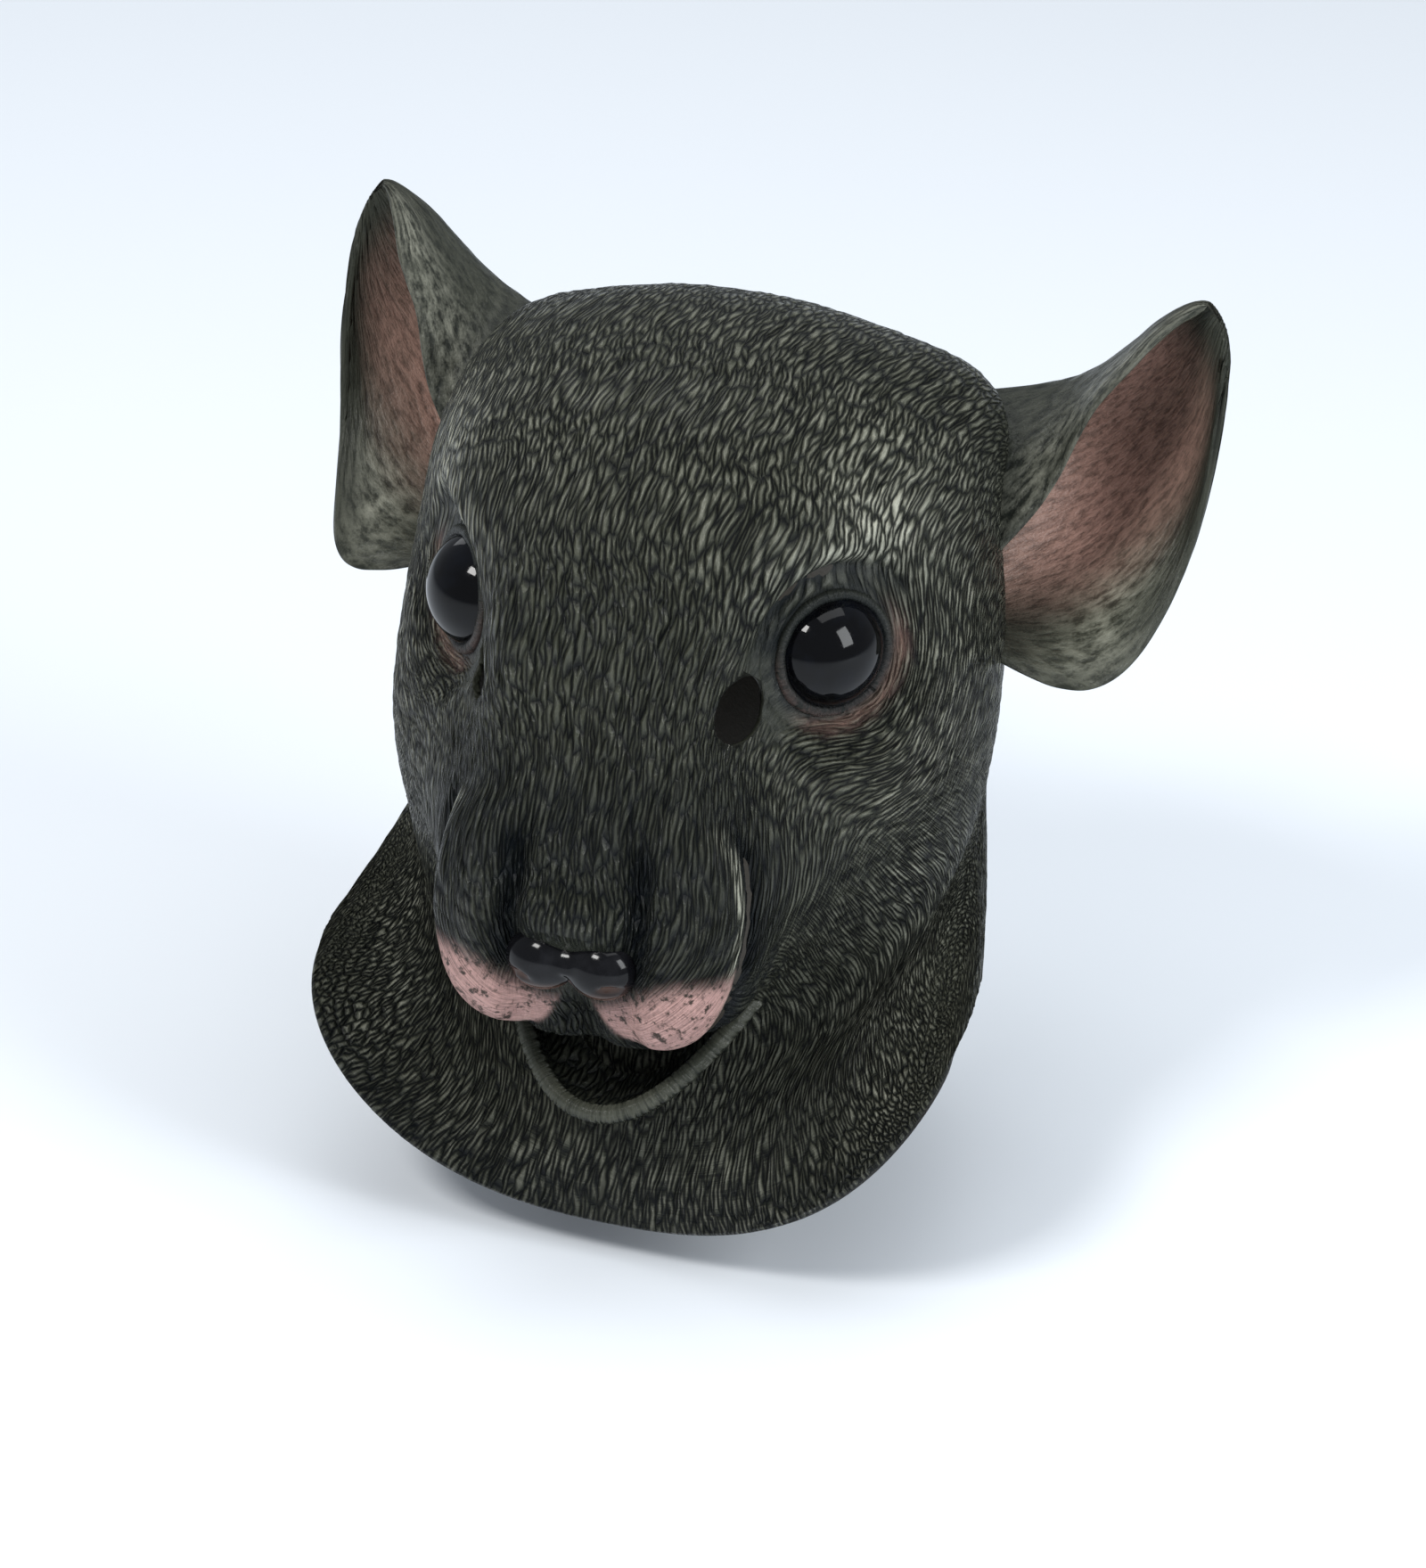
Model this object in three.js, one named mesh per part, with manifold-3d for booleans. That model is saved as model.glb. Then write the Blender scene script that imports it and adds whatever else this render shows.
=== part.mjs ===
// Rubber rat mask: one hollow latex skin with ears and a lower lip, a nose pad and two domed eyes.
// Millimetres, +Z up. The face looks along -Y and +X is the wearer's left.
// The tables are measured from the point between the eyes. The finished mask is then moved so that
// its origin is the inner top of the crown, where the wearer's head bears.
import * as THREE from "three";
import { mergeVertices } from "three/addons/utils/BufferGeometryUtils.js";
import Module from "manifold-3d";

const wasm = await Module();
wasm.setup();

// Head and neck
const HEAD_WIDTH = 240; // across the cheeks, without the ears
const HEAD_DEPTH = 256; // nose tip to the back of the head
const HEAD_HEIGHT = 334; // crown to the front hem
const SKIN_WALL = 2.5;
const RELIEF = 10; // what the heights of the soft swells and hollows are shares of
const GAP = 0.3; // clearance between the skin and the pieces glued to it

// Ears
const EAR_SPREAD = 80; // outwards, root to tip
const EAR_DEPTH = 80; // front to back
const EAR_HEIGHT = 140; // lobe to tip
const EAR_WALL = 3.2;

// Eyes
const EYE_RADIUS = 24;
const EYE_APERTURE = 43; // across the opening that the dome looks out of
const EYE_WALL = 2;
const EYE_BEHIND = 5; // how far the dome reaches behind the opening
const LID_THICK = 4.4;
const SOCKET_BLEND = 22; // width of the ring in which the socket runs out into the face

// Peep holes, mouth, lower lip and nose
const PEEP_WIDTH = 23;
const PEEP_HEIGHT = 27;
const PEEP_DEPTH = 34;
const MOUTH_WIDTH = 62;
const MOUTH_DEPTH = 46;
const MOUTH_HEIGHT = 34;
const LIP_WIDTH = 104;
const LIP_REACH = 46; // how far its middle stands in front of its corners
const LIP_DROP = 38; // corners down to the middle of its edge
const LIP_DEPTH = 20; // edge down to where the jaw meets the throat
const LIP_BULGE = 7; // how far the jaw swells out of the straight line between the two
const LIP_TAPER = 0.4; // the share of its width and drop that the jaw loses down to the throat
const LIP_POINT = 1.7; // 1 gives a sharp chin, 2 a round one
const LIP_WALL = 3.4;
const NOSE_WIDTH = 50;
const NOSE_LOBE = 28; // width of each of its two lobes
const NOSE_HEIGHT = 25;
const NOSE_DEPTH = 22;

// Mesh fineness
const RINGS = 35; // nose to hem
const AROUND = 42;
const FACE_FINER = 0.4; // how much closer the rings lie on the face than on average
const FACE_AT = 0.35; // where along the head they lie closest
const EAR_RINGS = 12;
const EAR_ACROSS = 10;
const LIP_RINGS = 13;
const LIP_ACROSS = 6;
const EYE_AROUND = 16;
const EYE_STEPS = 5; // from the dome's middle to its rim
const LID_AROUND = 6;
const HOLE_AROUND = 16; // of the mouth and the peep holes
const LOBE_AROUND = 14;
const MERGE = 1e-3; // how close two vertices lie that are one

const HALF_WIDTH = HEAD_WIDTH / 2;
const UP = new THREE.Vector3(0, 0, 1);

// Sections of the bent head, from the nose (at 0) over muzzle, crown and neck to the hem (at 1).
// Each is a loop through a top, a side and a low point. y is a share of HEAD_DEPTH, z of HEAD_HEIGHT
// and half of HALF_WIDTH; round is 1 on an ellipse and less on a squarer loop.
const SECTION_COLUMNS = ["at", "topY", "topZ", "sideY", "sideZ", "lowY", "lowZ", "half", "round"];
const SECTIONS = table(SECTION_COLUMNS, [
  [0.0, -0.305, -0.335, -0.305, -0.335, -0.305, -0.335, 0.0, 1.0],
  [0.04, -0.312, -0.29, -0.293, -0.338, -0.285, -0.389, 0.225, 0.8],
  [0.1, -0.289, -0.246, -0.258, -0.335, -0.258, -0.443, 0.433, 0.8],
  [0.17, -0.262, -0.18, -0.215, -0.323, -0.207, -0.473, 0.525, 0.85],
  [0.25, -0.234, -0.09, -0.16, -0.293, -0.148, -0.473, 0.575, 0.85],
  [0.32, -0.207, 0.01, -0.082, -0.234, -0.105, -0.47, 0.7, 0.82],
  [0.39, -0.164, 0.114, -0.008, -0.18, -0.082, -0.479, 0.835, 0.76],
  [0.46, -0.055, 0.206, 0.07, -0.144, -0.07, -0.5, 0.935, 0.76],
  [0.54, 0.148, 0.272, 0.156, -0.132, -0.07, -0.527, 0.99, 0.76],
  [0.62, 0.383, 0.264, 0.227, -0.162, -0.082, -0.557, 1.0, 0.78],
  [0.7, 0.602, 0.144, 0.258, -0.216, -0.102, -0.587, 0.96, 0.8],
  [0.78, 0.688, -0.06, 0.242, -0.284, -0.125, -0.623, 0.932, 0.82],
  [0.86, 0.656, -0.254, 0.186, -0.355, -0.148, -0.659, 0.945, 0.82],
  [0.93, 0.617, -0.404, 0.105, -0.416, -0.172, -0.695, 1.01, 0.82],
  [1.0, 0.641, -0.554, -0.04, -0.47, -0.191, -0.726, 1.085, 0.8],
]);

// Soft swells (height above 0) and hollows (below), each a bell over an ellipsoid.
// x and wide are shares of HALF_WIDTH, y and deep of HEAD_DEPTH, z and tall of HEAD_HEIGHT, and
// height of RELIEF. Each row away from the centre is mirrored.
const SWELL_COLUMNS = ["name", "x", "y", "z", "wide", "deep", "tall", "height"];
const SWELLS = table(SWELL_COLUMNS, [
  ["valley by the bridge", 0.45, -0.11, -0.05, 0.13, 0.08, 0.1, -0.5],
  ["bridge edge", 0.31, -0.2, -0.03, 0.13, 0.09, 0.14, 0.6],
  ["eye socket", 0.715, -0.03, -0.014, 0.37, 0.175, 0.135, -2.1],
  ["brow", 0.6, -0.03, 0.15, 0.29, 0.1, 0.06, 0.5],
  ["muzzle pad", 0.32, -0.265, -0.39, 0.185, 0.1, 0.072, 0.7],
  ["groove beside the nose", 0.235, -0.29, -0.28, 0.06, 0.055, 0.072, -0.5],
  ["philtrum", 0.0, -0.265, -0.437, 0.058, 0.055, 0.048, -0.9],
  ["cheek", 0.86, 0.015, -0.235, 0.29, 0.16, 0.1, 0.2],
  ["temple", 0.87, 0.235, 0.15, 0.33, 0.2, 0.108, 0.4],
  ["ear collar", 0.78, 0.45, 0.17, 0.3, 0.16, 0.1, 1.6],
]);

// Ribs of the ear from root to tip, measured from EAR_PLACE. Each rib passes through the front edge,
// the fold, the back and the rear edge. x is a share of EAR_SPREAD, y of EAR_DEPTH, z of EAR_HEIGHT.
const RIB_COLUMNS = ["at", "front", "fold", "back", "rear"];
const RIB_KNOTS = [0, 0.3, 0.68, 1];
const RIBS = table(RIB_COLUMNS, [
  [0.0, [0.0, -0.2, -0.057], [-0.3, 0.25, 0.34], [-0.025, 0.15, -0.143], [0.05, -0.37, -0.21]],
  [0.3, [0.325, -0.05, 0.2], [0.09, 0.66, 0.31], [0.36, 0.48, -0.07], [0.475, -0.46, -0.27]],
  [0.55, [0.45, 0.1, 0.386], [0.34, 0.73, 0.37], [0.64, 0.6, 0.085], [0.77, -0.25, -0.255]],
  [0.78, [0.61, 0.265, 0.514], [0.565, 0.745, 0.485], [0.84, 0.615, 0.265], [0.935, 0.225, -0.015]],
  [0.93, [0.75, 0.5, 0.593], [0.74, 0.7, 0.58], [0.925, 0.615, 0.45], [0.985, 0.465, 0.315]],
  [1.0, [0.85, 0.65, 0.621], [0.865, 0.665, 0.625], [0.94, 0.665, 0.565], [0.975, 0.625, 0.5]],
]);

// Places on the head, as shares of HALF_WIDTH, HEAD_DEPTH and HEAD_HEIGHT
const EAR_PLACE = placeOn(0.85, 0.39, 0.0);
const EYE_PLACE = placeOn(0.622, 0.004, -0.018);
const EYE_LOOK = new THREE.Vector3(0.74, -0.66, 0.12).normalize();
const PEEP_PLACE = placeOn(0.4, -0.133, -0.05);
const PEEP_LOOK = new THREE.Vector3(0.5, -0.85, 0.1).normalize();
const MOUTH_PLACE = placeOn(0.0, -0.12, -0.485);
const LIP_PLACE = placeOn(0.0, -0.06, -0.44);
const NOSE_PLACE = placeOn(0.0, -0.3, -0.335);

// The rows of a table as objects that hold each value under its column's name.
function table(columns, rows) {
  return rows.map((row) => Object.fromEntries(columns.map((column, k) => [column, row[k]])));
}

// A point given by its shares of the head's half width, depth and height.
function placeOn(x, y, z) {
  return new THREE.Vector3(x * HALF_WIDTH, y * HEAD_DEPTH, z * HEAD_HEIGHT);
}

// A natural cubic spline through rows of numbers, as a function that gives the row at x.
function spline(knots, rows) {
  const last = knots.length - 1;
  const width = rows[0].length;
  const bend = rows.map(() => new Array(width).fill(0));
  for (let k = 0; k < width; k++) {
    const share = new Array(last + 1).fill(0);
    const rest = new Array(last + 1).fill(0);
    for (let i = 1; i < last; i++) {
      const before = knots[i] - knots[i - 1];
      const after = knots[i + 1] - knots[i];
      const turn = (rows[i + 1][k] - rows[i][k]) / after - (rows[i][k] - rows[i - 1][k]) / before;
      const pivot = 2 * (before + after) - before * share[i - 1];
      share[i] = after / pivot;
      rest[i] = (6 * turn - before * rest[i - 1]) / pivot;
    }
    for (let i = last - 1; i > 0; i--) {
      bend[i][k] = rest[i] - share[i] * bend[i + 1][k];
    }
  }
  return (x) => {
    let i = 0;
    while (i < last - 1 && x > knots[i + 1]) i++;
    const step = knots[i + 1] - knots[i];
    const a = (knots[i + 1] - x) / step;
    const b = 1 - a;
    return rows[i].map((low, k) => {
      const curve = (a ** 3 - a) * bend[i][k] + (b ** 3 - b) * bend[i + 1][k];
      return a * low + b * rows[i + 1][k] + curve * step * step / 6;
    });
  };
}

// A spline through a table's rows, over its column "at".
function splineOf(rows) {
  return spline(rows.map(({ at }) => at), rows.map(({ at, ...row }) => Object.values(row).flat()));
}

const sectionAt = splineOf(SECTIONS);
const SWELLS_BOTH_SIDES = SWELLS.flatMap((row) => mirroredSwell(row));

// A row of SWELLS in millimetres, and its mirror image where it has one.
function mirroredSwell({ x, y, z, wide, deep, tall, height }) {
  const radii = placeOn(wide, deep, tall);
  const sides = x === 0 ? [1] : [1, -1];
  return sides.map((side) => ({ centre: placeOn(side * x, y, z), radii, height: height * RELIEF }));
}

// The head's surface before its swells: along runs from nose to hem, angle from top over side to low.
function bareHead(along, angle) {
  const [topY, topZ, sideY, sideZ, lowY, lowZ, half, round] = sectionAt(along);
  const s = Math.sin(angle);
  const loop = (top, side, low) => {
    const middle = (top + low) / 2;
    return middle + (top - low) / 2 * Math.cos(angle) + (side - middle) * s * s;
  };
  const x = half * Math.sign(s) * Math.abs(s) ** round;
  return placeOn(x, loop(topY, sideY, lowY), loop(topZ, sideZ, lowZ));
}

// The outward normal of a surface, from small steps both ways along its two parameters.
function normalOf(surface, along, angle) {
  const STEP = 0.004;
  const behind = Math.max(along - STEP, STEP);
  const middle = Math.max(along, 2 * STEP);
  const down = surface(along + STEP, angle).sub(surface(behind, angle));
  const round = surface(middle, angle + STEP).sub(surface(middle, angle - STEP));
  return round.cross(down).normalize();
}

// A smooth step from 1 below start to 0 past end.
function fade(value, start, end) {
  return 1 - THREE.MathUtils.smoothstep(value, start, end);
}

// Presses a point of the face flat round each eye, so that the socket's rim lies in one plane.
function socket(point) {
  const side = Math.sign(point.x) || 1;
  const look = EYE_LOOK.clone();
  look.x *= side;
  const from = point.clone().sub(new THREE.Vector3(side * EYE_PLACE.x, EYE_PLACE.y, EYE_PLACE.z));
  const height = from.dot(look);
  const aside = Math.sqrt(Math.max(from.lengthSq() - height * height, 0));
  const rim = EYE_APERTURE / 2 + LID_THICK / 2;
  const near = fade(aside, rim, rim + SOCKET_BLEND) * fade(Math.abs(height), EYE_RADIUS, 2 * EYE_RADIUS);
  return point.addScaledVector(look, -height * near);
}

// The head's outer surface with its swells, hollows and eye sockets.
function head(along, angle) {
  const point = bareHead(along, angle);
  const normal = normalOf(bareHead, along, angle);
  let height = 0;
  for (const swell of SWELLS_BOTH_SIDES) {
    const away = point.clone().sub(swell.centre).divide(swell.radii);
    height += swell.height * Math.exp(-away.lengthSq());
  }
  return socket(point.addScaledVector(normal, height));
}

// Where a ring lies along the head, for an even share of the rings.
function ringPlace(share) {
  const wave = (place) => Math.sin(2 * Math.PI * (place - FACE_AT));
  return share - FACE_FINER / (2 * Math.PI) * (wave(share) - wave(0));
}

// The rings of the head's surface moved inwards by a depth, without the nose's end point.
function headRings(depth) {
  const rings = [];
  for (let i = 1; i < RINGS; i++) {
    const along = ringPlace(i / (RINGS - 1));
    const ring = [];
    for (let j = 0; j < AROUND; j++) ring.push(headPoint(along, 2 * Math.PI * j / AROUND, depth));
    rings.push(ring);
  }
  return rings;
}

// A point of the head's surface moved inwards by a depth.
function headPoint(along, angle, depth) {
  return head(along, angle).addScaledVector(normalOf(head, along, angle), -depth);
}

// The middle of a ring of points.
function middleOf(ring) {
  const sum = ring.reduce((total, point) => total.add(point), new THREE.Vector3());
  return sum.divideScalar(ring.length);
}

// A closed mesh through rings of points, drawn together to a point at each end.
function loft(rings, first = middleOf(rings[0]), last = middleOf(rings[rings.length - 1])) {
  const count = rings[0].length;
  const points = [first, ...rings.flat(), last];
  const faces = [];
  for (let j = 0; j < count; j++) {
    const next = (j + 1) % count;
    faces.push(0, 1 + next, 1 + j);
    for (let i = 0; i < rings.length - 1; i++) {
      const here = 1 + i * count;
      faces.push(here + j, here + next, here + count + j);
      faces.push(here + next, here + count + next, here + count + j);
    }
    const end = 1 + (rings.length - 1) * count;
    faces.push(end + j, end + next, points.length - 1);
  }
  return solidOf(points.flatMap((point) => point.toArray()), faces);
}

// A solid from flat lists of coordinates and corners, turned right way out if it has to be.
function solidOf(coordinates, corners) {
  let volume = 0;
  const at = (k) => new THREE.Vector3().fromArray(coordinates, 3 * corners[k]);
  for (let k = 0; k < corners.length; k += 3) volume += at(k).dot(at(k + 1).cross(at(k + 2)));
  const triVerts = Uint32Array.from(corners);
  if (volume < 0) triVerts.reverse();
  const vertProperties = Float32Array.from(coordinates);
  return new wasm.Manifold(new wasm.Mesh({ numProp: 3, vertProperties, triVerts }));
}

// A solid from a three.js geometry, moved by a matrix.
function solidFrom(geometry, matrix) {
  const bare = geometry.clone();
  bare.deleteAttribute("normal");
  bare.deleteAttribute("uv");
  bare.applyMatrix4(matrix);
  const merged = mergeVertices(bare, MERGE);
  const kept = [];
  for (let k = 0; k < merged.index.count; k += 3) {
    const [a, b, c] = [0, 1, 2].map((step) => merged.index.getX(k + step));
    if (a !== b && b !== c && c !== a) kept.push(a, b, c);
  }
  return solidOf(Array.from(merged.attributes.position.array), kept);
}

// A matrix that puts a shape made along +Z at a place, looking along a direction.
function setAlong(place, look, size = new THREE.Vector3(1, 1, 1)) {
  const turn = new THREE.Quaternion().setFromUnitVectors(UP, look);
  return new THREE.Matrix4().compose(place, turn, size);
}

// An ellipsoid of the given overall sizes, the last of them along a direction.
function ellipsoid(place, look, sizes, around) {
  const ball = new THREE.SphereGeometry(0.5, around, around / 2);
  ball.rotateX(Math.PI / 2);
  return solidFrom(ball, setAlong(place, look, new THREE.Vector3(...sizes)));
}

// A vector mirrored to the given side of the mask.
function onSide(vector, side) {
  return new THREE.Vector3(side * vector.x, vector.y, vector.z);
}

// The two faces of a sheet as one ring for each row of its grid, half its wall to each side.
function sheetRings(grid, wall) {
  return grid.map((row, i) => {
    const before = grid[Math.max(i - 1, 0)];
    const after = grid[Math.min(i + 1, grid.length - 1)];
    const normals = row.map((point, j) => {
      const across = row[Math.min(j + 1, row.length - 1)].clone().sub(row[Math.max(j - 1, 0)]);
      return after[j].clone().sub(before[j]).cross(across).normalize();
    });
    const front = row.map((point, j) => point.clone().addScaledVector(normals[j], wall / 2));
    const back = row.map((point, j) => point.clone().addScaledVector(normals[j], -wall / 2));
    return [...front, ...back.reverse()];
  });
}

// One ear: a cupped sheet carried from its root inside the skin to its tip.
function ear(side) {
  const ribAt = splineOf(RIBS);
  const size = new THREE.Vector3(EAR_SPREAD, EAR_DEPTH, EAR_HEIGHT);
  const grid = [];
  for (let i = 0; i < EAR_RINGS; i++) {
    const shares = ribAt(i / (EAR_RINGS - 1));
    const knots = RIB_KNOTS.map((knot, k) => shares.slice(3 * k, 3 * k + 3));
    const across = spline(RIB_KNOTS, knots);
    const row = [];
    for (let j = 0; j < EAR_ACROSS; j++) {
      const point = new THREE.Vector3(...across(j / (EAR_ACROSS - 1))).multiply(size).add(EAR_PLACE);
      row.push(onSide(point, side));
    }
    grid.push(row);
  }
  return loft(sheetRings(grid, EAR_WALL));
}

// The lower jaw: a scoop that hangs from the muzzle's corners and runs back into the throat.
function lowerLip() {
  const grid = [];
  for (let i = 0; i < LIP_RINGS; i++) {
    const sideways = 2 * i / (LIP_RINGS - 1) - 1;
    const forward = 1 - Math.abs(sideways) ** LIP_POINT;
    const row = [];
    for (let j = 0; j < LIP_ACROSS; j++) {
      const down = j / (LIP_ACROSS - 1);
      const taper = 1 - LIP_TAPER * down;
      const bulge = LIP_BULGE * Math.sin(Math.PI * down);
      const x = LIP_WIDTH / 2 * sideways * taper;
      const y = -LIP_REACH * forward * (1 - down) - bulge * forward;
      const z = -LIP_DROP * forward * taper - LIP_DEPTH * down - bulge;
      row.push(new THREE.Vector3(x, y, z).add(LIP_PLACE));
    }
    grid.push(row);
  }
  return loft(sheetRings(grid, LIP_WALL));
}

// The rolled eyelid round an eye's opening.
function eyelid(side) {
  const middle = EYE_APERTURE / 2 + LID_THICK / 4;
  const ring = new THREE.TorusGeometry(middle, LID_THICK / 2, LID_AROUND, EYE_AROUND);
  return solidFrom(ring, setAlong(onSide(EYE_PLACE, side), onSide(EYE_LOOK, side)));
}

// How deep the centre of an eye's sphere lies behind its opening.
function eyeSunk() {
  return Math.sqrt(EYE_RADIUS ** 2 - (EYE_APERTURE / 2) ** 2);
}

// The profile of a part of a sphere, from its middle out to its rim.
function domeArc(radius, steps) {
  const step = Math.acos((eyeSunk() - EYE_BEHIND) / EYE_RADIUS) / EYE_STEPS;
  const points = [];
  for (let k = 0; k <= steps; k++) {
    points.push(new THREE.Vector2(radius * Math.sin(k * step), radius * Math.cos(k * step)));
  }
  return points;
}

// A profile turned round an eye's axis, its sphere's centre as deep as fills the opening.
function turnedRoundEye(profile, side) {
  const turned = new THREE.LatheGeometry(profile, EYE_AROUND);
  turned.rotateX(Math.PI / 2);
  const centre = EYE_PLACE.clone().addScaledVector(EYE_LOOK, -eyeSunk());
  return solidFrom(turned, setAlong(onSide(centre, side), onSide(EYE_LOOK, side)));
}

// One eye: a hollow dome, a part of a sphere that reaches a little behind its opening.
function eyeDome(side) {
  const inside = domeArc(EYE_RADIUS - EYE_WALL, EYE_STEPS).reverse();
  return turnedRoundEye([...domeArc(EYE_RADIUS, EYE_STEPS), ...inside], side);
}

// The shape that an eye's seat is cut with, a gap larger than the eye.
function eyeSeat(side) {
  const outside = domeArc(EYE_RADIUS + GAP, EYE_STEPS + 1);
  return turnedRoundEye([...outside, new THREE.Vector2(0, outside[EYE_STEPS + 1].y)], side);
}

// The hole beside the muzzle's bridge that the wearer looks out of.
function peepHole(side) {
  const sizes = [PEEP_WIDTH, PEEP_HEIGHT, PEEP_DEPTH];
  return ellipsoid(onSide(PEEP_PLACE, side), onSide(PEEP_LOOK, side), sizes, HOLE_AROUND);
}

// The latex skin: a thin shell with ears, eyelids and lower lip, and its openings cut through.
function maskSkin() {
  const outer = headRings(0);
  const inner = headRings(SKIN_WALL);
  const innerNose = headPoint(0, 0, SKIN_WALL);
  const hollow = loft(inner, innerNose);
  const mouth = ellipsoid(MOUTH_PLACE, UP, [MOUTH_WIDTH, MOUTH_DEPTH, MOUTH_HEIGHT], HOLE_AROUND);
  let skin = loft([...outer, ...inner.slice().reverse()], head(0, 0), innerNose).subtract(mouth);
  skin = skin.add(lowerLip().subtract(hollow));
  for (const side of [1, -1]) {
    skin = skin.add(ear(side).subtract(hollow));
    skin = skin.add(eyelid(side).subtract(hollow));
    skin = skin.subtract(eyeSeat(side)).subtract(peepHole(side));
  }
  return skin;
}

// The nose pad: two round lobes, hollowed at the back to the shape of the muzzle under them.
function nosePad() {
  const aside = (NOSE_WIDTH - NOSE_LOBE) / 2;
  const lobes = [1, -1].map((side) => {
    const place = NOSE_PLACE.clone().add(new THREE.Vector3(side * aside, 0, 0));
    return ellipsoid(place, UP, [NOSE_LOBE, NOSE_DEPTH, NOSE_HEIGHT], LOBE_AROUND);
  });
  const muzzle = loft(headRings(-GAP), headPoint(0, 0, -GAP));
  return lobes[0].add(lobes[1]).subtract(muzzle);
}

// A named mesh of a solid in one colour.
function meshOf(name, solid, look) {
  const { numProp, vertProperties, triVerts } = solid.getMesh();
  const geometry = new THREE.BufferGeometry();
  const coordinates = new Float32Array(vertProperties.length / numProp * 3);
  for (let i = 0; i < coordinates.length / 3; i++) {
    for (let k = 0; k < 3; k++) coordinates[3 * i + k] = vertProperties[numProp * i + k];
  }
  geometry.setAttribute("position", new THREE.BufferAttribute(coordinates, 3));
  geometry.setIndex(new THREE.BufferAttribute(triVerts, 1));
  geometry.computeVertexNormals();
  const mesh = new THREE.Mesh(geometry, new THREE.MeshStandardMaterial(look));
  mesh.name = name;
  return mesh;
}

// The highest point of the inner wall on the middle line: where the crown rests on the head.
function crownSeat() {
  const STEPS = 60;
  let seat = headPoint(0, 0, SKIN_WALL);
  for (let k = 1; k <= STEPS; k++) {
    const point = headPoint(k / STEPS, 0, SKIN_WALL);
    if (point.z > seat.z) seat = point;
  }
  return seat;
}

const latex = { color: 0x2a2e2c, roughness: 0.62, metalness: 0 };
const gloss = { color: 0x08090a, roughness: 0.12, metalness: 0 };

const mask = new THREE.Group();
mask.add(meshOf("mask_skin", maskSkin(), latex));
mask.add(meshOf("nose_pad", nosePad(), gloss));
mask.add(meshOf("eye_left", eyeDome(1), gloss));
mask.add(meshOf("eye_right", eyeDome(-1), gloss));
mask.position.copy(crownSeat()).negate();

export default mask;
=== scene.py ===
"""Rubber rat mask: the moulded latex skin, its ears, jaw and eyelids, and the glossy eyes and nose.

Every form is worked out in millimetres from the point between the eyes, with numpy, as a surface over a
grid of two parameters. The origin of the finished mask is the inner top of the crown.
"""

import logging
from collections.abc import Callable
from dataclasses import dataclass
from enum import Enum, IntEnum

import bpy
import numpy as np
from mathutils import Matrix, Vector


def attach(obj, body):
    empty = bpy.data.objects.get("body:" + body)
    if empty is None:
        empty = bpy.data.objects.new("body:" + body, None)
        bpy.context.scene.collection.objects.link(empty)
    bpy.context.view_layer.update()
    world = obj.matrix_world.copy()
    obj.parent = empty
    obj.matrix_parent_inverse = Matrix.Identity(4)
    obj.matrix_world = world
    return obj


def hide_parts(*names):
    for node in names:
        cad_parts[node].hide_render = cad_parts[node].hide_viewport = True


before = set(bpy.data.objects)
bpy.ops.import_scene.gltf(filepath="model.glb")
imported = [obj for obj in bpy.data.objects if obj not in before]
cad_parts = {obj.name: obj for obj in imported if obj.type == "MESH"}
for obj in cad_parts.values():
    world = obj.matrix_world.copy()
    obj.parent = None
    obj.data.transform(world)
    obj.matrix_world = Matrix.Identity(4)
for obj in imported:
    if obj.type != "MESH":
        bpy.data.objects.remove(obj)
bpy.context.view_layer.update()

LOG = logging.getLogger("rat_mask")
BODY = "root"
MM = 0.001
TURN = 2 * np.pi

HEAD_WIDTH = 240.0
HEAD_DEPTH = 256.0
HEAD_HEIGHT = 334.0
HALF_WIDTH = HEAD_WIDTH / 2
SKIN_WALL = 2.5
RELIEF = 10.0  # what the heights of the soft swells and hollows are shares of

Colour = tuple[float, float, float]
Span = tuple[float, float]  # the start and end of a fade, or the middle and width of a bell
Socket = bpy.types.NodeSocket
Given = bpy.types.NodeSocket | float | tuple  # what a node's input takes: a link or a value


class Side(Enum):
    """The two halves of the mask, by the sign of x."""

    LEFT = 1
    RIGHT = -1


class Slot(Enum):
    """Names of the material slots."""

    SKIN = "latex_skin"
    NOSE = "nose_gloss"
    EYE = "eye_gloss"


class Draw(IntEnum):
    """What a scattered value of a stroke is for."""

    ROW = 1
    ASIDE = 2
    AHEAD = 3
    LEAN = 4
    LENGTH = 5
    WIDTH = 6
    HEIGHT = 7


def place_on(x: float, y: float, z: float) -> np.ndarray:
    """A point from its shares of the head's half width, depth and height.

    Args:
        x, y, z: The shares.

    Returns:
        The point in millimetres.
    """
    return np.array([x * HALF_WIDTH, y * HEAD_DEPTH, z * HEAD_HEIGHT])


EYE_PLACE = place_on(0.622, 0.004, -0.018)
EYE_LOOK = np.array([0.74, -0.66, 0.12]) / np.linalg.norm([0.74, -0.66, 0.12])
EYE_RADIUS = 24.0
EYE_APERTURE = 43.0
EYE_BEHIND = 5.0
EYE_GAP = 0.3
EYE_SUNK = float(np.sqrt(EYE_RADIUS**2 - (EYE_APERTURE / 2) ** 2))
LID_THICK = 4.4
SOCKET_BLEND = 22.0
PEEP_PLACE = place_on(0.4, -0.133, -0.05)
PEEP_LOOK = np.array([0.5, -0.85, 0.1]) / np.linalg.norm([0.5, -0.85, 0.1])
PEEP_SIZE = (23.0, 27.0, 34.0)
MOUTH_PLACE = place_on(0.0, -0.12, -0.485)
MOUTH_SIZE = (62.0, 46.0, 34.0)
LIP_PLACE = place_on(0.0, -0.06, -0.44)
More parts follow.
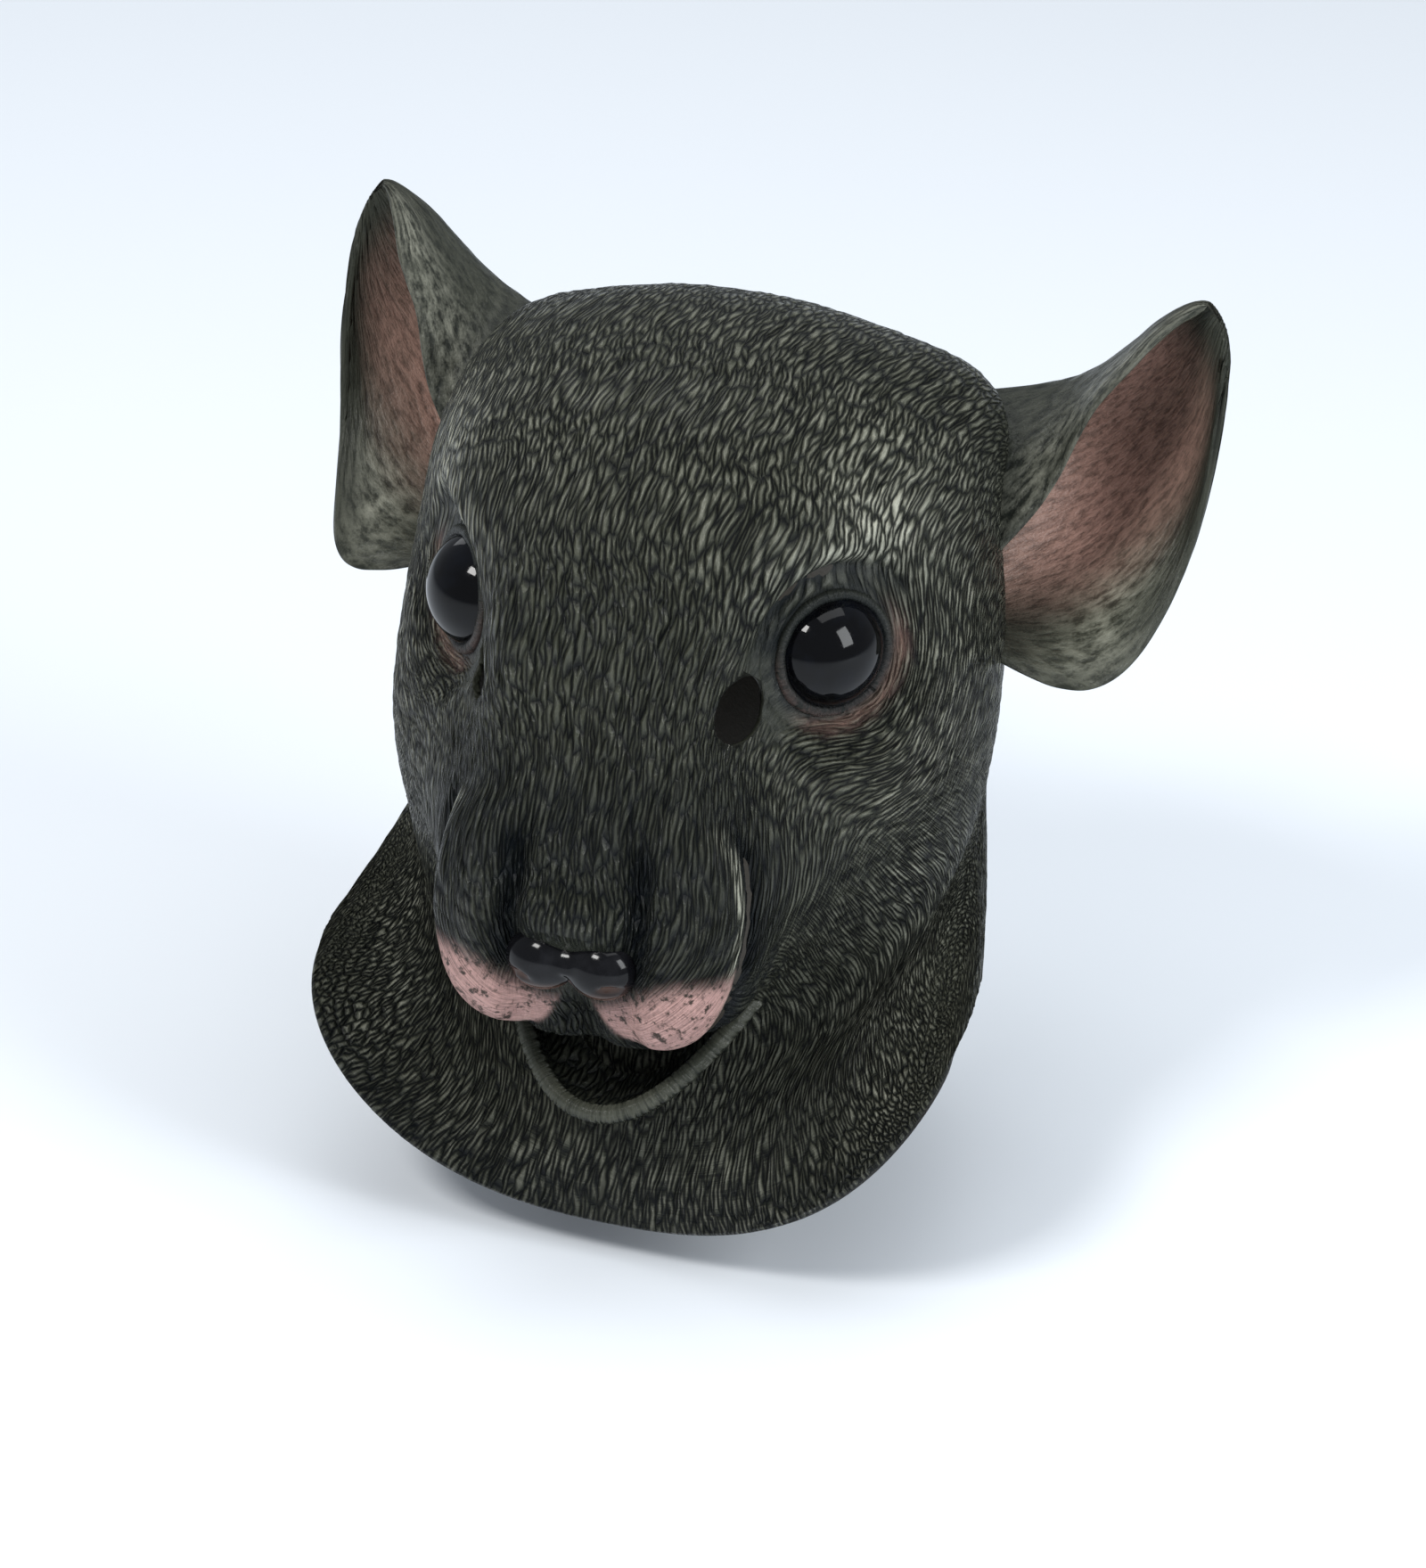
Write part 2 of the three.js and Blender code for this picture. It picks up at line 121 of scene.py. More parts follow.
NOSE_PLACE = place_on(0.0, -0.3, -0.335)
EAR_PLACE = place_on(0.85, 0.39, 0.0)
BELOW_EYE = np.array([82.0, -6.0, -42.0])
EAR_SADDLE = np.array([100.0, 128.0, 42.0])
TEMPLE = np.array([92.0, 18.0, 46.0])
CORNER = PEEP_PLACE - EYE_PLACE
TRIM_DEPTH = 0.6 * SKIN_WALL  # how deep in the skin's wall the pieces that join it end


def on_side(point: np.ndarray, side: Side) -> np.ndarray:
    """A vector, or an array of them, mirrored to one side of the mask.

    Args:
        point: Vectors along the last axis, made for the left side.
        side: The side that is wanted.

    Returns:
        The vectors on that side.
    """
    return point * np.array([side.value, 1.0, 1.0])


def unit(vectors: np.ndarray) -> np.ndarray:
    """Vectors divided by their lengths.

    Args:
        vectors: Vectors along the last axis.

    Returns:
        Unit vectors.
    """
    return vectors / np.maximum(np.linalg.norm(vectors, axis=-1, keepdims=True), 1e-9)


def fade(value: np.ndarray, start: float, end: float) -> np.ndarray:
    """A smooth step from 1 below start to 0 past end: 1 - t*t*(3 - 2t), with t the share of the way.

    Args:
        value: Where to evaluate it.
        start: Up to here it is 1.
        end: From here it is 0.

    Returns:
        The step's values.
    """
    t = np.clip((value - start) / (end - start), 0.0, 1.0)
    return 1 - t * t * (3 - 2 * t)


def bell(value: np.ndarray, middle: float, width: float) -> np.ndarray:
    """A bell: exp(-((value - middle) / width)^2).

    Args:
        value: Where to evaluate it.
        middle: Where it is 1.
        width: How far from there it has fallen to 1/e.

    Returns:
        The bell's values.
    """
    return np.exp(-(((value - middle) / width) ** 2))


def left_half(points: np.ndarray) -> np.ndarray:
    """Points of both halves brought to the left one, by the size of x.

    Args:
        points: Points along the last axis.

    Returns:
        The points with x at or above 0.
    """
    return np.concatenate([np.abs(points[..., :1]), points[..., 1:]], -1)


def distance_to(points: np.ndarray, place: np.ndarray) -> np.ndarray:
    """The distance from each point to a place on the left, or from a right one to its mirror image.

    Args:
        points: Points along the last axis.
        place: The place.

    Returns:
        Distances in millimetres.
    """
    return np.linalg.norm(left_half(points) - place, axis=-1)


def weighted(marks: dict, weights: tuple) -> np.ndarray:
    """The sum of some marks, each times its weight.

    Args:
        marks: Arrays by name.
        weights: Pairs of a name and a weight.

    Returns:
        One array.
    """
    return sum(weight * marks[name] for name, weight in weights)


def scatter(*counters: np.ndarray | float) -> np.ndarray:
    """Even scatter in 0..1 from whole numbers: the fraction left by a large multiple of a sine.

    Args:
        counters: Arrays or numbers that name a stroke, a row and a purpose.

    Returns:
        One value for each, the same on each run.
    """
    weights = (12.9898, 78.233, 37.719, 4.581)
    total = sum(weight * counter for weight, counter in zip(weights, counters))
    return np.mod(np.sin(total) * 4375.85453, 1.0)


def natural_spline(knots: np.ndarray, rows: np.ndarray, at: np.ndarray) -> np.ndarray:
    """A natural cubic spline: between two knots, the straight mix of their rows and (a^3 - a) of each bend.

    Args:
        knots: The places of the rows, increasing.
        rows: One row of numbers for each knot.
        at: Where to evaluate it.

    Returns:
        The rows at those places, with the numbers along the last axis.
    """
    knots = np.asarray(knots, float)
    rows = np.asarray(rows, float)
    gaps = np.diff(knots)
    count = len(knots)
    system = np.eye(count)
    target = np.zeros_like(rows)
    slopes = np.diff(rows, axis=0) / gaps[:, None]
    inner = np.arange(1, count - 1)
    system[inner, inner - 1] = gaps[:-1]
    system[inner, inner] = 2 * (gaps[:-1] + gaps[1:])
    system[inner, inner + 1] = gaps[1:]
    target[inner] = 6 * np.diff(slopes, axis=0)
    bends = np.linalg.solve(system, target)
    low = np.clip(np.searchsorted(knots, at, side="left") - 1, 0, count - 2)
    step = gaps[low][..., None]
    b = (at[..., None] - knots[low][..., None]) / step
    a = 1 - b
    curve = (a**3 - a) * bends[low] + (b**3 - b) * bends[low + 1]
    return a * rows[low] + b * rows[low + 1] + curve * step**2 / 6


@dataclass(frozen=True)
class HeadForm:
    """The bent head from nose to hem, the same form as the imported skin's.

    A section is a loop through a top, a side and a low point. Its rows are: place along the head; y and z
    of top, side and low point as shares of depth and height; half width; and how round the loop is.
    A swell is a bell over an ellipsoid, along the skin's normal: its rows are x, y, z, the ellipsoid's
    three radii as shares, and its height as a share of RELIEF.
    """

    sections: tuple = (
        (0.0, -0.305, -0.335, -0.305, -0.335, -0.305, -0.335, 0.0, 1.0),
        (0.04, -0.312, -0.29, -0.293, -0.338, -0.285, -0.389, 0.225, 0.8),
        (0.1, -0.289, -0.246, -0.258, -0.335, -0.258, -0.443, 0.433, 0.8),
        (0.17, -0.262, -0.18, -0.215, -0.323, -0.207, -0.473, 0.525, 0.85),
        (0.25, -0.234, -0.09, -0.16, -0.293, -0.148, -0.473, 0.575, 0.85),
        (0.32, -0.207, 0.01, -0.082, -0.234, -0.105, -0.47, 0.7, 0.82),
        (0.39, -0.164, 0.114, -0.008, -0.18, -0.082, -0.479, 0.835, 0.76),
        (0.46, -0.055, 0.206, 0.07, -0.144, -0.07, -0.5, 0.935, 0.76),
        (0.54, 0.148, 0.272, 0.156, -0.132, -0.07, -0.527, 0.99, 0.76),
        (0.62, 0.383, 0.264, 0.227, -0.162, -0.082, -0.557, 1.0, 0.78),
        (0.7, 0.602, 0.144, 0.258, -0.216, -0.102, -0.587, 0.96, 0.8),
        (0.78, 0.688, -0.06, 0.242, -0.284, -0.125, -0.623, 0.932, 0.82),
        (0.86, 0.656, -0.254, 0.186, -0.355, -0.148, -0.659, 0.945, 0.82),
        (0.93, 0.617, -0.404, 0.105, -0.416, -0.172, -0.695, 1.01, 0.82),
        (1.0, 0.641, -0.554, -0.04, -0.47, -0.191, -0.726, 1.085, 0.8),
    )
    swells: tuple = (
        (0.45, -0.11, -0.05, 0.13, 0.08, 0.1, -0.5),
        (0.31, -0.2, -0.03, 0.13, 0.09, 0.14, 0.6),
        (0.715, -0.03, -0.014, 0.37, 0.175, 0.135, -2.1),
        (0.6, -0.03, 0.15, 0.29, 0.1, 0.06, 0.5),
        (0.32, -0.265, -0.39, 0.185, 0.1, 0.072, 0.7),
        (0.235, -0.29, -0.28, 0.06, 0.055, 0.072, -0.5),
        (0.0, -0.265, -0.437, 0.058, 0.055, 0.048, -0.9),
        (0.86, 0.015, -0.235, 0.29, 0.16, 0.1, 0.2),
        (0.87, 0.235, 0.15, 0.33, 0.2, 0.108, 0.4),
        (0.78, 0.45, 0.17, 0.3, 0.16, 0.1, 1.6),
    )
    face_finer: float = 0.4
    face_at: float = 0.35
    step: float = 0.004
    seat_steps: int = 60

    def bare(self, along: np.ndarray, angle: np.ndarray) -> np.ndarray:
        """The loops without swells.

        y and z are middle + half span * cos + (side - middle) * sin^2, and |x| is half * |sin|^round.

        Args:
            along: From the nose, 0, to the hem, 1.
            angle: From the top over the side to the low point.

        Returns:
            Points in millimetres.
        """
        values = np.asarray(self.sections)
        row = natural_spline(values[:, 0], values[:, 1:], along)
        s, c = np.sin(angle), np.cos(angle)

        def loop(top: int, side: int, low: int) -> np.ndarray:
            """One coordinate of the loop, from the columns of its top, side and low point."""
            middle = (row[..., top] + row[..., low]) / 2
            return middle + (row[..., top] - row[..., low]) / 2 * c + (row[..., side] - middle) * s * s

        x = row[..., 6] * np.sign(s) * np.abs(s) ** row[..., 7]
        return np.stack([x * HALF_WIDTH, loop(0, 2, 4) * HEAD_DEPTH, loop(1, 3, 5) * HEAD_HEIGHT], -1)

    def normal(self, surface: Callable, along: np.ndarray, angle: np.ndarray) -> np.ndarray:
        """The outward normal: the cross product of small steps round and along the surface.

        Args:
            surface: A function of along and angle.
            along, angle: Where the normal is wanted.

        Returns:
            Unit normals.
        """
        step = self.step
        middle = np.maximum(along, 2 * step)
        down = surface(along + step, angle) - surface(np.maximum(along - step, step), angle)
        around = surface(middle, angle + step) - surface(middle, angle - step)
        return unit(np.cross(around, down))

    def socket(self, point: np.ndarray) -> np.ndarray:
        """Presses the face flat round each eye, so that the eyelid's rim lies in one plane.

        Args:
            point: Points of the face.

        Returns:
            The points, moved along the eye's axis by their height over its plane where they are near it.
        """
        side = np.where(point[..., :1] < 0, -1.0, 1.0)
        mirror = np.concatenate([side, np.ones_like(side), np.ones_like(side)], -1)
        away = point - EYE_PLACE * mirror
        look = EYE_LOOK * mirror
        height = (away * look).sum(-1)
        aside = np.sqrt(np.maximum((away**2).sum(-1) - height**2, 0))
        rim = EYE_APERTURE / 2 + LID_THICK / 2
        near = fade(aside, rim, rim + SOCKET_BLEND) * fade(np.abs(height), EYE_RADIUS, 2 * EYE_RADIUS)
        return point - look * (height * near)[..., None]

    def point(self, along: np.ndarray, angle: np.ndarray) -> np.ndarray:
        """The outer surface: the bare head plus the sum of height * exp(-distance^2) of each swell.

        Args:
            along, angle: As in bare.

        Returns:
            Points in millimetres.
        """
        points = self.bare(along, angle)
        normal = self.normal(self.bare, along, angle)
        height = np.zeros(points.shape[:-1])
        for x, y, z, wide, deep, tall, rise in self.swells:
            radii = place_on(wide, deep, tall)
            for side in (Side.LEFT, Side.RIGHT) if x else (Side.LEFT,):
                away = (points - on_side(place_on(x, y, z), side)) / radii
                height = height + rise * RELIEF * np.exp(-(away**2).sum(-1))
        return self.socket(points + normal * height[..., None])

    def places(self, rings: int, columns: int) -> tuple[np.ndarray, np.ndarray]:
        """A grid of along and angle with the rings closer together on the face.

        Args:
            rings: How many rings, without the nose's end point.
            columns: How many points each has.

        Returns:
            Two arrays of rings by columns.
        """
        share = np.arange(1, rings + 1) / rings
        wave = np.sin(TURN * (share - self.face_at)) - np.sin(-TURN * self.face_at)
        along = share - self.face_finer / TURN * wave
        angle = TURN * np.arange(columns) / columns
        return np.meshgrid(along, angle, indexing="ij")

    def skin(self, along: np.ndarray, angle: np.ndarray, depth: float) -> np.ndarray:
        """The outer surface moved inwards along its normal.

        Args:
            along, angle: As in bare.
            depth: How far, in millimetres.

        Returns:
            Points in millimetres.
        """
        return self.point(along, angle) - depth * self.normal(self.point, along, angle)

    def seat(self) -> np.ndarray:
        """The highest point of the inner wall on the middle line, where the crown rests on a head.

        Returns:
            One point in millimetres.
        """
        along = np.arange(self.seat_steps + 1) / self.seat_steps
        line = self.skin(along, np.zeros_like(along), SKIN_WALL)
        return line[np.argmax(line[:, 2])]


HEAD = HeadForm()
SEAT = HEAD.seat()


@dataclass
class Form:
    """A mesh in the making: points in millimetres, faces, and values for each point."""

    points: np.ndarray
    faces: list
    values: dict

    def mesh(self, name: str) -> bpy.types.Mesh:
        """The form as a Blender mesh in metres, its faces turned outwards by the sign of its volume.

        Args:
            name: The mesh's name.

        Returns:
            A smooth-shaded mesh with one float attribute for each value.
        """
        points = (self.points - SEAT) * MM
        corners = np.array([face[:3] for face in self.faces])
        a, b, c = (points[corners[:, k]] for k in range(3))
        quads = np.array([len(face) == 4 for face in self.faces])
        volume = (a * np.cross(b, c)).sum()
        last = np.array([face[-1] for face in self.faces])[quads]
        volume += (points[corners[quads, 0]] * np.cross(points[corners[quads, 2]], points[last])).sum()
        faces = self.faces if volume > 0 else [face[::-1] for face in self.faces]
        mesh = bpy.data.meshes.new(name)
        mesh.from_pydata(points.tolist(), [], faces)
        for key, value in self.values.items():
            kind = "FLOAT_VECTOR" if value.ndim == 2 else "FLOAT"
            layer = mesh.attributes.new(key, kind, "POINT")
            layer.data.foreach_set("vector" if value.ndim == 2 else "value", value.astype(np.float32).ravel())
        mesh.shade_smooth()
        return mesh


def ring_faces(first: np.ndarray, second: np.ndarray) -> list:
    """Quads between two closed rings of equal counts.

    Args:
        first, second: The rings' vertex numbers.

    Returns:
        A list of quads.
    """
    return np.stack([first, np.roll(first, -1), np.roll(second, -1), second], -1).tolist()


def tube_faces(numbers: np.ndarray) -> list:
    """Quads over a grid of rings, each closed on itself.

    Args:
        numbers: Vertex numbers, rings by columns.

    Returns:
        A list of quads.
    """
    a, b = numbers[:-1], numbers[1:]
    return np.stack([a, np.roll(a, -1, 1), np.roll(b, -1, 1), b], -1).reshape(-1, 4).tolist()


def fan_faces(centre: int, ring: np.ndarray) -> list:
    """Triangles from a ring to one point.

    Args:
        centre: The point's number.
        ring: The ring's vertex numbers.

    Returns:
        A list of triangles.
    """
    return np.stack([np.full_like(ring, centre), np.roll(ring, -1), ring], -1).tolist()


def closed_tube(rings: np.ndarray, values: dict) -> Form:
    """A closed body through rings of points, drawn together to a middle point at each end.

    Args:
        rings: Points, rings by columns by three.
        values: Arrays of rings by columns.

    Returns:
        The form.
    """
    count, columns = rings.shape[:2]
    numbers = np.arange(count * columns).reshape(count, columns)
    ends = np.stack([rings[0].mean(0), rings[-1].mean(0)])
    points = np.concatenate([rings.reshape(-1, 3), ends])
    total = count * columns
    faces = tube_faces(numbers) + fan_faces(total, numbers[0])
    faces += fan_faces(total + 1, numbers[-1][::-1])
    kept = {
        name: np.concatenate([value.reshape(total, *value.shape[2:]), value[[0, -1]].mean(1)])
        for name, value in values.items()
    }
    return Form(points, faces, kept)


@dataclass(frozen=True)
class FurStrokes:
    """The combed strokes of the sculpted fur, in millimetres: rows of short ridges across the flow."""

    pitch: float = 5.2
    row: float = 9.0
    half_length: float = 10.5
    half_width: float = 2.9
    lean: float = 0.3
    aside: float = 0.5
    ahead: float = 0.9
    lengths: Span = (0.7, 1.3)
    widths: Span = (0.75, 1.25)
    heights: Span = (0.55, 1.0)

    def drawn(self, spread: Span, *counters: np.ndarray | float) -> np.ndarray:
        """A scattered value between the two ends of a spread."""
        return spread[0] + (spread[1] - spread[0]) * scatter(*counters)

    def contours(self, points: np.ndarray, run: np.ndarray) -> np.ndarray:
        """How far each column lies round the head on each row of strokes.

        A row is the line where the run from the nose is one value; its length is summed from the top to
        each side, so that strokes keep their spacing wherever the head widens.

        Args:
            points: The surface, rings by columns by three.
            run: The length from the nose down each column.

        Returns:
            Signed lengths, rows by columns.
        """
        rows = int(run.max() / self.row) + 4
        target = (np.arange(rows) * self.row)[:, None, None]
        above = np.clip((run[None] < target).sum(1), 1, len(run) - 1)
        columns = np.arange(run.shape[1])[None]
        before, after = run[above - 1, columns], run[above, columns]
        share = np.clip((target[:, 0] - before) / np.maximum(after - before, 1e-6), 0, 1)[..., None]
        line = points[above - 1, columns] * (1 - share) + points[above, columns] * share
        half = run.shape[1] // 2
        steps = np.linalg.norm(np.diff(line[:, : half + 1], axis=1), axis=-1)
        right = np.concatenate([np.zeros((rows, 1)), np.cumsum(steps, axis=1)], axis=1)
        return np.concatenate([right, -right[:, half - 1 : 0 : -1]], axis=1)

    def flow(self, contours: np.ndarray, run: np.ndarray) -> np.ndarray:
        """The length round the head at every point, between the two rows it lies between.

        Args:
            contours: From contours.
            run: The length from the nose.

        Returns:
            Signed lengths, rings by columns.
        """
        place = run / self.row
        low = np.clip(place.astype(int), 0, len(contours) - 2)
        share = np.clip(place - low, 0, 1)
        columns = np.arange(run.shape[1])[None]
        return contours[low, columns] * (1 - share) + contours[low + 1, columns] * share

    def height(self, contours: np.ndarray, run: np.ndarray, bend: np.ndarray) -> np.ndarray:
        """The highest of the ridges near each point: (1 - across^2) * (1 - along^2), each leaning a little.

        Args:
            contours: From contours.
            run: The length from the nose, with its waviness.
            bend: What the flow is moved sideways by.

        Returns:
            Heights from 0 to 1.
        """
        best = np.zeros_like(run)
        base = np.floor(run / self.row).astype(int)
        columns = np.arange(run.shape[1])[None]
        for up in (-1, 0, 1, 2):
            row = np.clip(base + up, 0, len(contours) - 1)
            line = contours[row, columns] + bend
            far = np.abs(line) > np.abs(contours[row, run.shape[1] // 2]) - 2 * self.pitch
            place = line / self.pitch + np.where(far, 0.0, scatter(row, Draw.ROW) - 0.5)
            nearest = np.round(place)
            for beside in (-1, 0, 1):
                stroke = nearest + beside
                name = np.where(far, np.abs(stroke), stroke)
                sign = np.where(far & (stroke < 0), -1.0, 1.0)
                off = sign * self.aside * (scatter(name, row, Draw.ASIDE) - 0.5)
                aside = (place - stroke - off) * self.pitch
                ahead = run - (row + self.ahead * (scatter(name, row, Draw.AHEAD) - 0.5)) * self.row
                aside = aside - ahead * self.lean * sign * (scatter(name, row, Draw.LEAN) - 0.5)
                length = self.half_length * self.drawn(self.lengths, name, row, Draw.LENGTH)
                width = self.half_width * self.drawn(self.widths, name, row, Draw.WIDTH)
                ridge = np.clip(1 - (aside / width) ** 2, 0, 1) * np.clip(1 - (ahead / length) ** 2, 0, 1)
                best = np.maximum(best, ridge * self.drawn(self.heights, name, row, Draw.HEIGHT))
        return best


def ball(place: np.ndarray, look: np.ndarray, sizes: tuple, around: int = 48) -> Form:
    """An ellipsoid of the given overall sizes, the last of them along a direction.

    Args:
        place: Its middle.
        look: The direction of its third size.
        sizes: Its three overall sizes.
        around: How many columns it has.

    Returns:
        The form.
    """
    theta, phi = np.meshgrid(
        np.linspace(0, np.pi, around // 2 + 1)[1:-1], TURN * np.arange(around) / around, indexing="ij"
    )
    local = np.stack([np.sin(theta) * np.cos(phi), np.sin(theta) * np.sin(phi), np.cos(theta)], -1)
    turned = turned_to(local * np.array(sizes) / 2, look)
    return closed_tube(turned + place, {})


def turned_to(points: np.ndarray, look: np.ndarray) -> np.ndarray:
    """Points made round +Z, turned the short way so that +Z points along a direction.

    Args:
        points: Points along the last axis.
        look: The direction.

    Returns:
        The turned points.
    """
    turn = Vector((0, 0, 1)).rotation_difference(Vector(look)).to_matrix()
    return points @ np.array(turn).T


def linked(name: str, data: bpy.types.ID) -> bpy.types.Object:
    """A new object in the scene.

    Args:
        name: Its name.
        data: Its mesh, light or camera.

    Returns:
        The object.
    """
    thing = bpy.data.objects.new(name, data)
    bpy.context.scene.collection.objects.link(thing)
    return thing


def cut(piece: bpy.types.Object, cutters: list[Form]) -> None:
    """Takes closed forms away from a piece with exact booleans, and keeps the result as its mesh.

    Args:
        piece: The piece, which is changed.
        cutters: What is taken away.
    """
    tools = [linked(f"cutter_{number}", form.mesh(f"cutter_{number}")) for number, form in enumerate(cutters)]
    for tool in tools:
        modifier = piece.modifiers.new(tool.name, "BOOLEAN")
        modifier.operation = "DIFFERENCE"
        modifier.solver = "MANIFOLD"
        modifier.object = tool
    depsgraph = bpy.context.evaluated_depsgraph_get()
    result = bpy.data.meshes.new_from_object(piece.evaluated_get(depsgraph))
    piece.modifiers.clear()
    piece.data = result
    for tool in tools:
        bpy.data.objects.remove(tool)


def add_piece(
    name: str, form: Form, slot: Slot, material: bpy.types.Material, *nodes: str
) -> bpy.types.Object:
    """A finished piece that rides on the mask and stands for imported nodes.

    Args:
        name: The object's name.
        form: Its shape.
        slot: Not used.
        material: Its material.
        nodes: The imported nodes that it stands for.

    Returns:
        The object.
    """
    piece = linked(name, form.mesh(name))
    piece.data.materials.append(material)
    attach(piece, BODY)
    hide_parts(*nodes)
    LOG.info("%s: %d faces", name, len(piece.data.polygons))
    return piece


@dataclass(frozen=True)
class WhiskerPads:
    """The muzzle's two cushions, the crease outside them, the furrows beside the nose and the flesh.

    Places are in millimetres from the point between the eyes. A pad is an ellipse over x and z, and its
    share is the distance from its middle, 1 along the ellipse.
    """

    middle: Span = (31.0, -96.0)
    half_sizes: Span = (30.0, 53.0)
    muzzle: Span = (-46.0, -34.0)
    outer_half: Span = (-26.0, -14.0)
    outer_low: Span = (-74.0, -50.0)
    crease: Span = (1.07, 0.055)
    rim: Span = (0.95, 0.055)
    cushion: Span = (0.74, 1.04)
    cushion_half: Span = (-31.0, -20.0)
    cushion_low: Span = (-72.0, -40.0)
    furrow: Span = (26.0, 5.0)
    furrow_low: Span = (-74.0, -56.0)
    furrow_high: Span = (108.0, 124.0)
    drape: Span = (-94.0, 9.0)
    drape_half: float = 19.0
    flesh_top: float = -132.0
    flesh_slope: float = 0.6
    flesh_slope_half: Span = (10.0, 42.0)
    flesh_edge: Span = (-4.0, 5.0)
    flesh_half: Span = (-5.0, -2.0)
    flesh_end: Span = (168.0, 176.0)
    flesh_share: Span = (0.99, 1.07)

    def marks(self, points: np.ndarray, wave: np.ndarray) -> dict:
        """Where each form lies, from 0 to 1: products of bells and fades over x, z and the pad's share.

        Args:
            points: The surface.
            wave: What the flesh's edge wanders by.

        Returns:
            Arrays by name.
        """
        wide, y, z = np.moveaxis(left_half(points), -1, 0)
        aside = (wide - self.middle[0]) / self.half_sizes[0]
        share = np.hypot(aside, (z - self.middle[1]) / self.half_sizes[1])
        front = fade(y, *self.muzzle)
        outward = front * fade(-wide, *self.outer_half) * fade(z, *self.outer_low)
        cushion = front * fade(share, *self.cushion) * fade(-wide, *self.cushion_half)
        furrow = front * bell(wide, *self.furrow) * fade(z, *self.furrow_low)
        sloped = np.clip(wide, *self.flesh_slope_half) - self.flesh_slope_half[0]
        flesh = front * fade(z - self.flesh_top - self.flesh_slope * sloped + wave, *self.flesh_edge)
        flesh = flesh * fade(-wide, *self.flesh_half) * fade(-z, *self.flesh_end)
        return {
            "front": front,
            "crease": outward * bell(share, *self.crease),
            "rim": outward * bell(share, *self.rim),
            "cushion": cushion * fade(z, *self.cushion_low),
            "furrow": furrow * fade(-z, *self.furrow_high),
            "drape": front * np.exp(-((wide / self.drape_half) ** 4)) * bell(z, *self.drape),
            "flesh": flesh * fade(share, *self.flesh_share),
        }


@dataclass(frozen=True)
class EyeFolds:
    """The forms round an eye: lid, corner towards the peep hole, folds below, a fold above that takes painted
    shade, and brow above.
    """

    lid: Span = (24.5, 28.5)
    corner: Span = (15.0, 25.0)
    corner_end: Span = (0.75, 1.0)
    fold: Span = (31.0, 6.0)
    fold_crest: float = 27.5
    fold_length: float = 6.0
    fold_low: Span = (2.0, 26.0)
    above: Span = (33.5, 4.0)
    above_high: Span = (-16.0, 2.0)
    above_half: Span = (82.0, 104.0)
    brow: Span = (44.0, 7.0)
    brow_high: Span = (-44.0, -20.0)
    socket: Span = (24.0, 42.0)
    socket_high: Span = (-12.0, 10.0)
    flesh: Span = (28.0, 3.0)
    flesh_low: Span = (-6.0, 16.0)
    flesh_half: Span = (-78.0, -60.0)

    def marks(self, points: np.ndarray) -> dict:
        """Where each form lies, from 0 to 1: bells and fades of the distance to the eye, x and z.

        The corner is a fade of the distance to the line from the eye to the peep hole.

        Args:
            points: The surface.

        Returns:
            Arrays by name.
        """
        left = left_half(points)
        wide, z = left[..., 0], left[..., 2]
        near = distance_to(points, EYE_PLACE)
        share = np.clip(((left - EYE_PLACE) @ CORNER) / (CORNER @ CORNER), 0, 1)
        line = np.linalg.norm(left - EYE_PLACE - share[..., None] * CORNER, axis=-1)
        crests = np.cos(TURN * (near - self.fold_crest) / self.fold_length)
        flesh = bell(near, *self.flesh) * fade(z, *self.flesh_low)
        return {
            "lid": fade(near, *self.lid),
            "corner": fade(line, *self.corner) * fade(share, *self.corner_end),
            "fold": crests * bell(near, *self.fold) * fade(z, *self.fold_low),
            "above": bell(near, *self.above) * fade(-z, *self.above_high) * fade(wide, *self.above_half),
            "brow": bell(near, *self.brow) * fade(-z, *self.brow_high),
            "socket": fade(near, *self.socket) * fade(-z, *self.socket_high),
            "lid_flesh": flesh * fade(-wide, *self.flesh_half),
        }


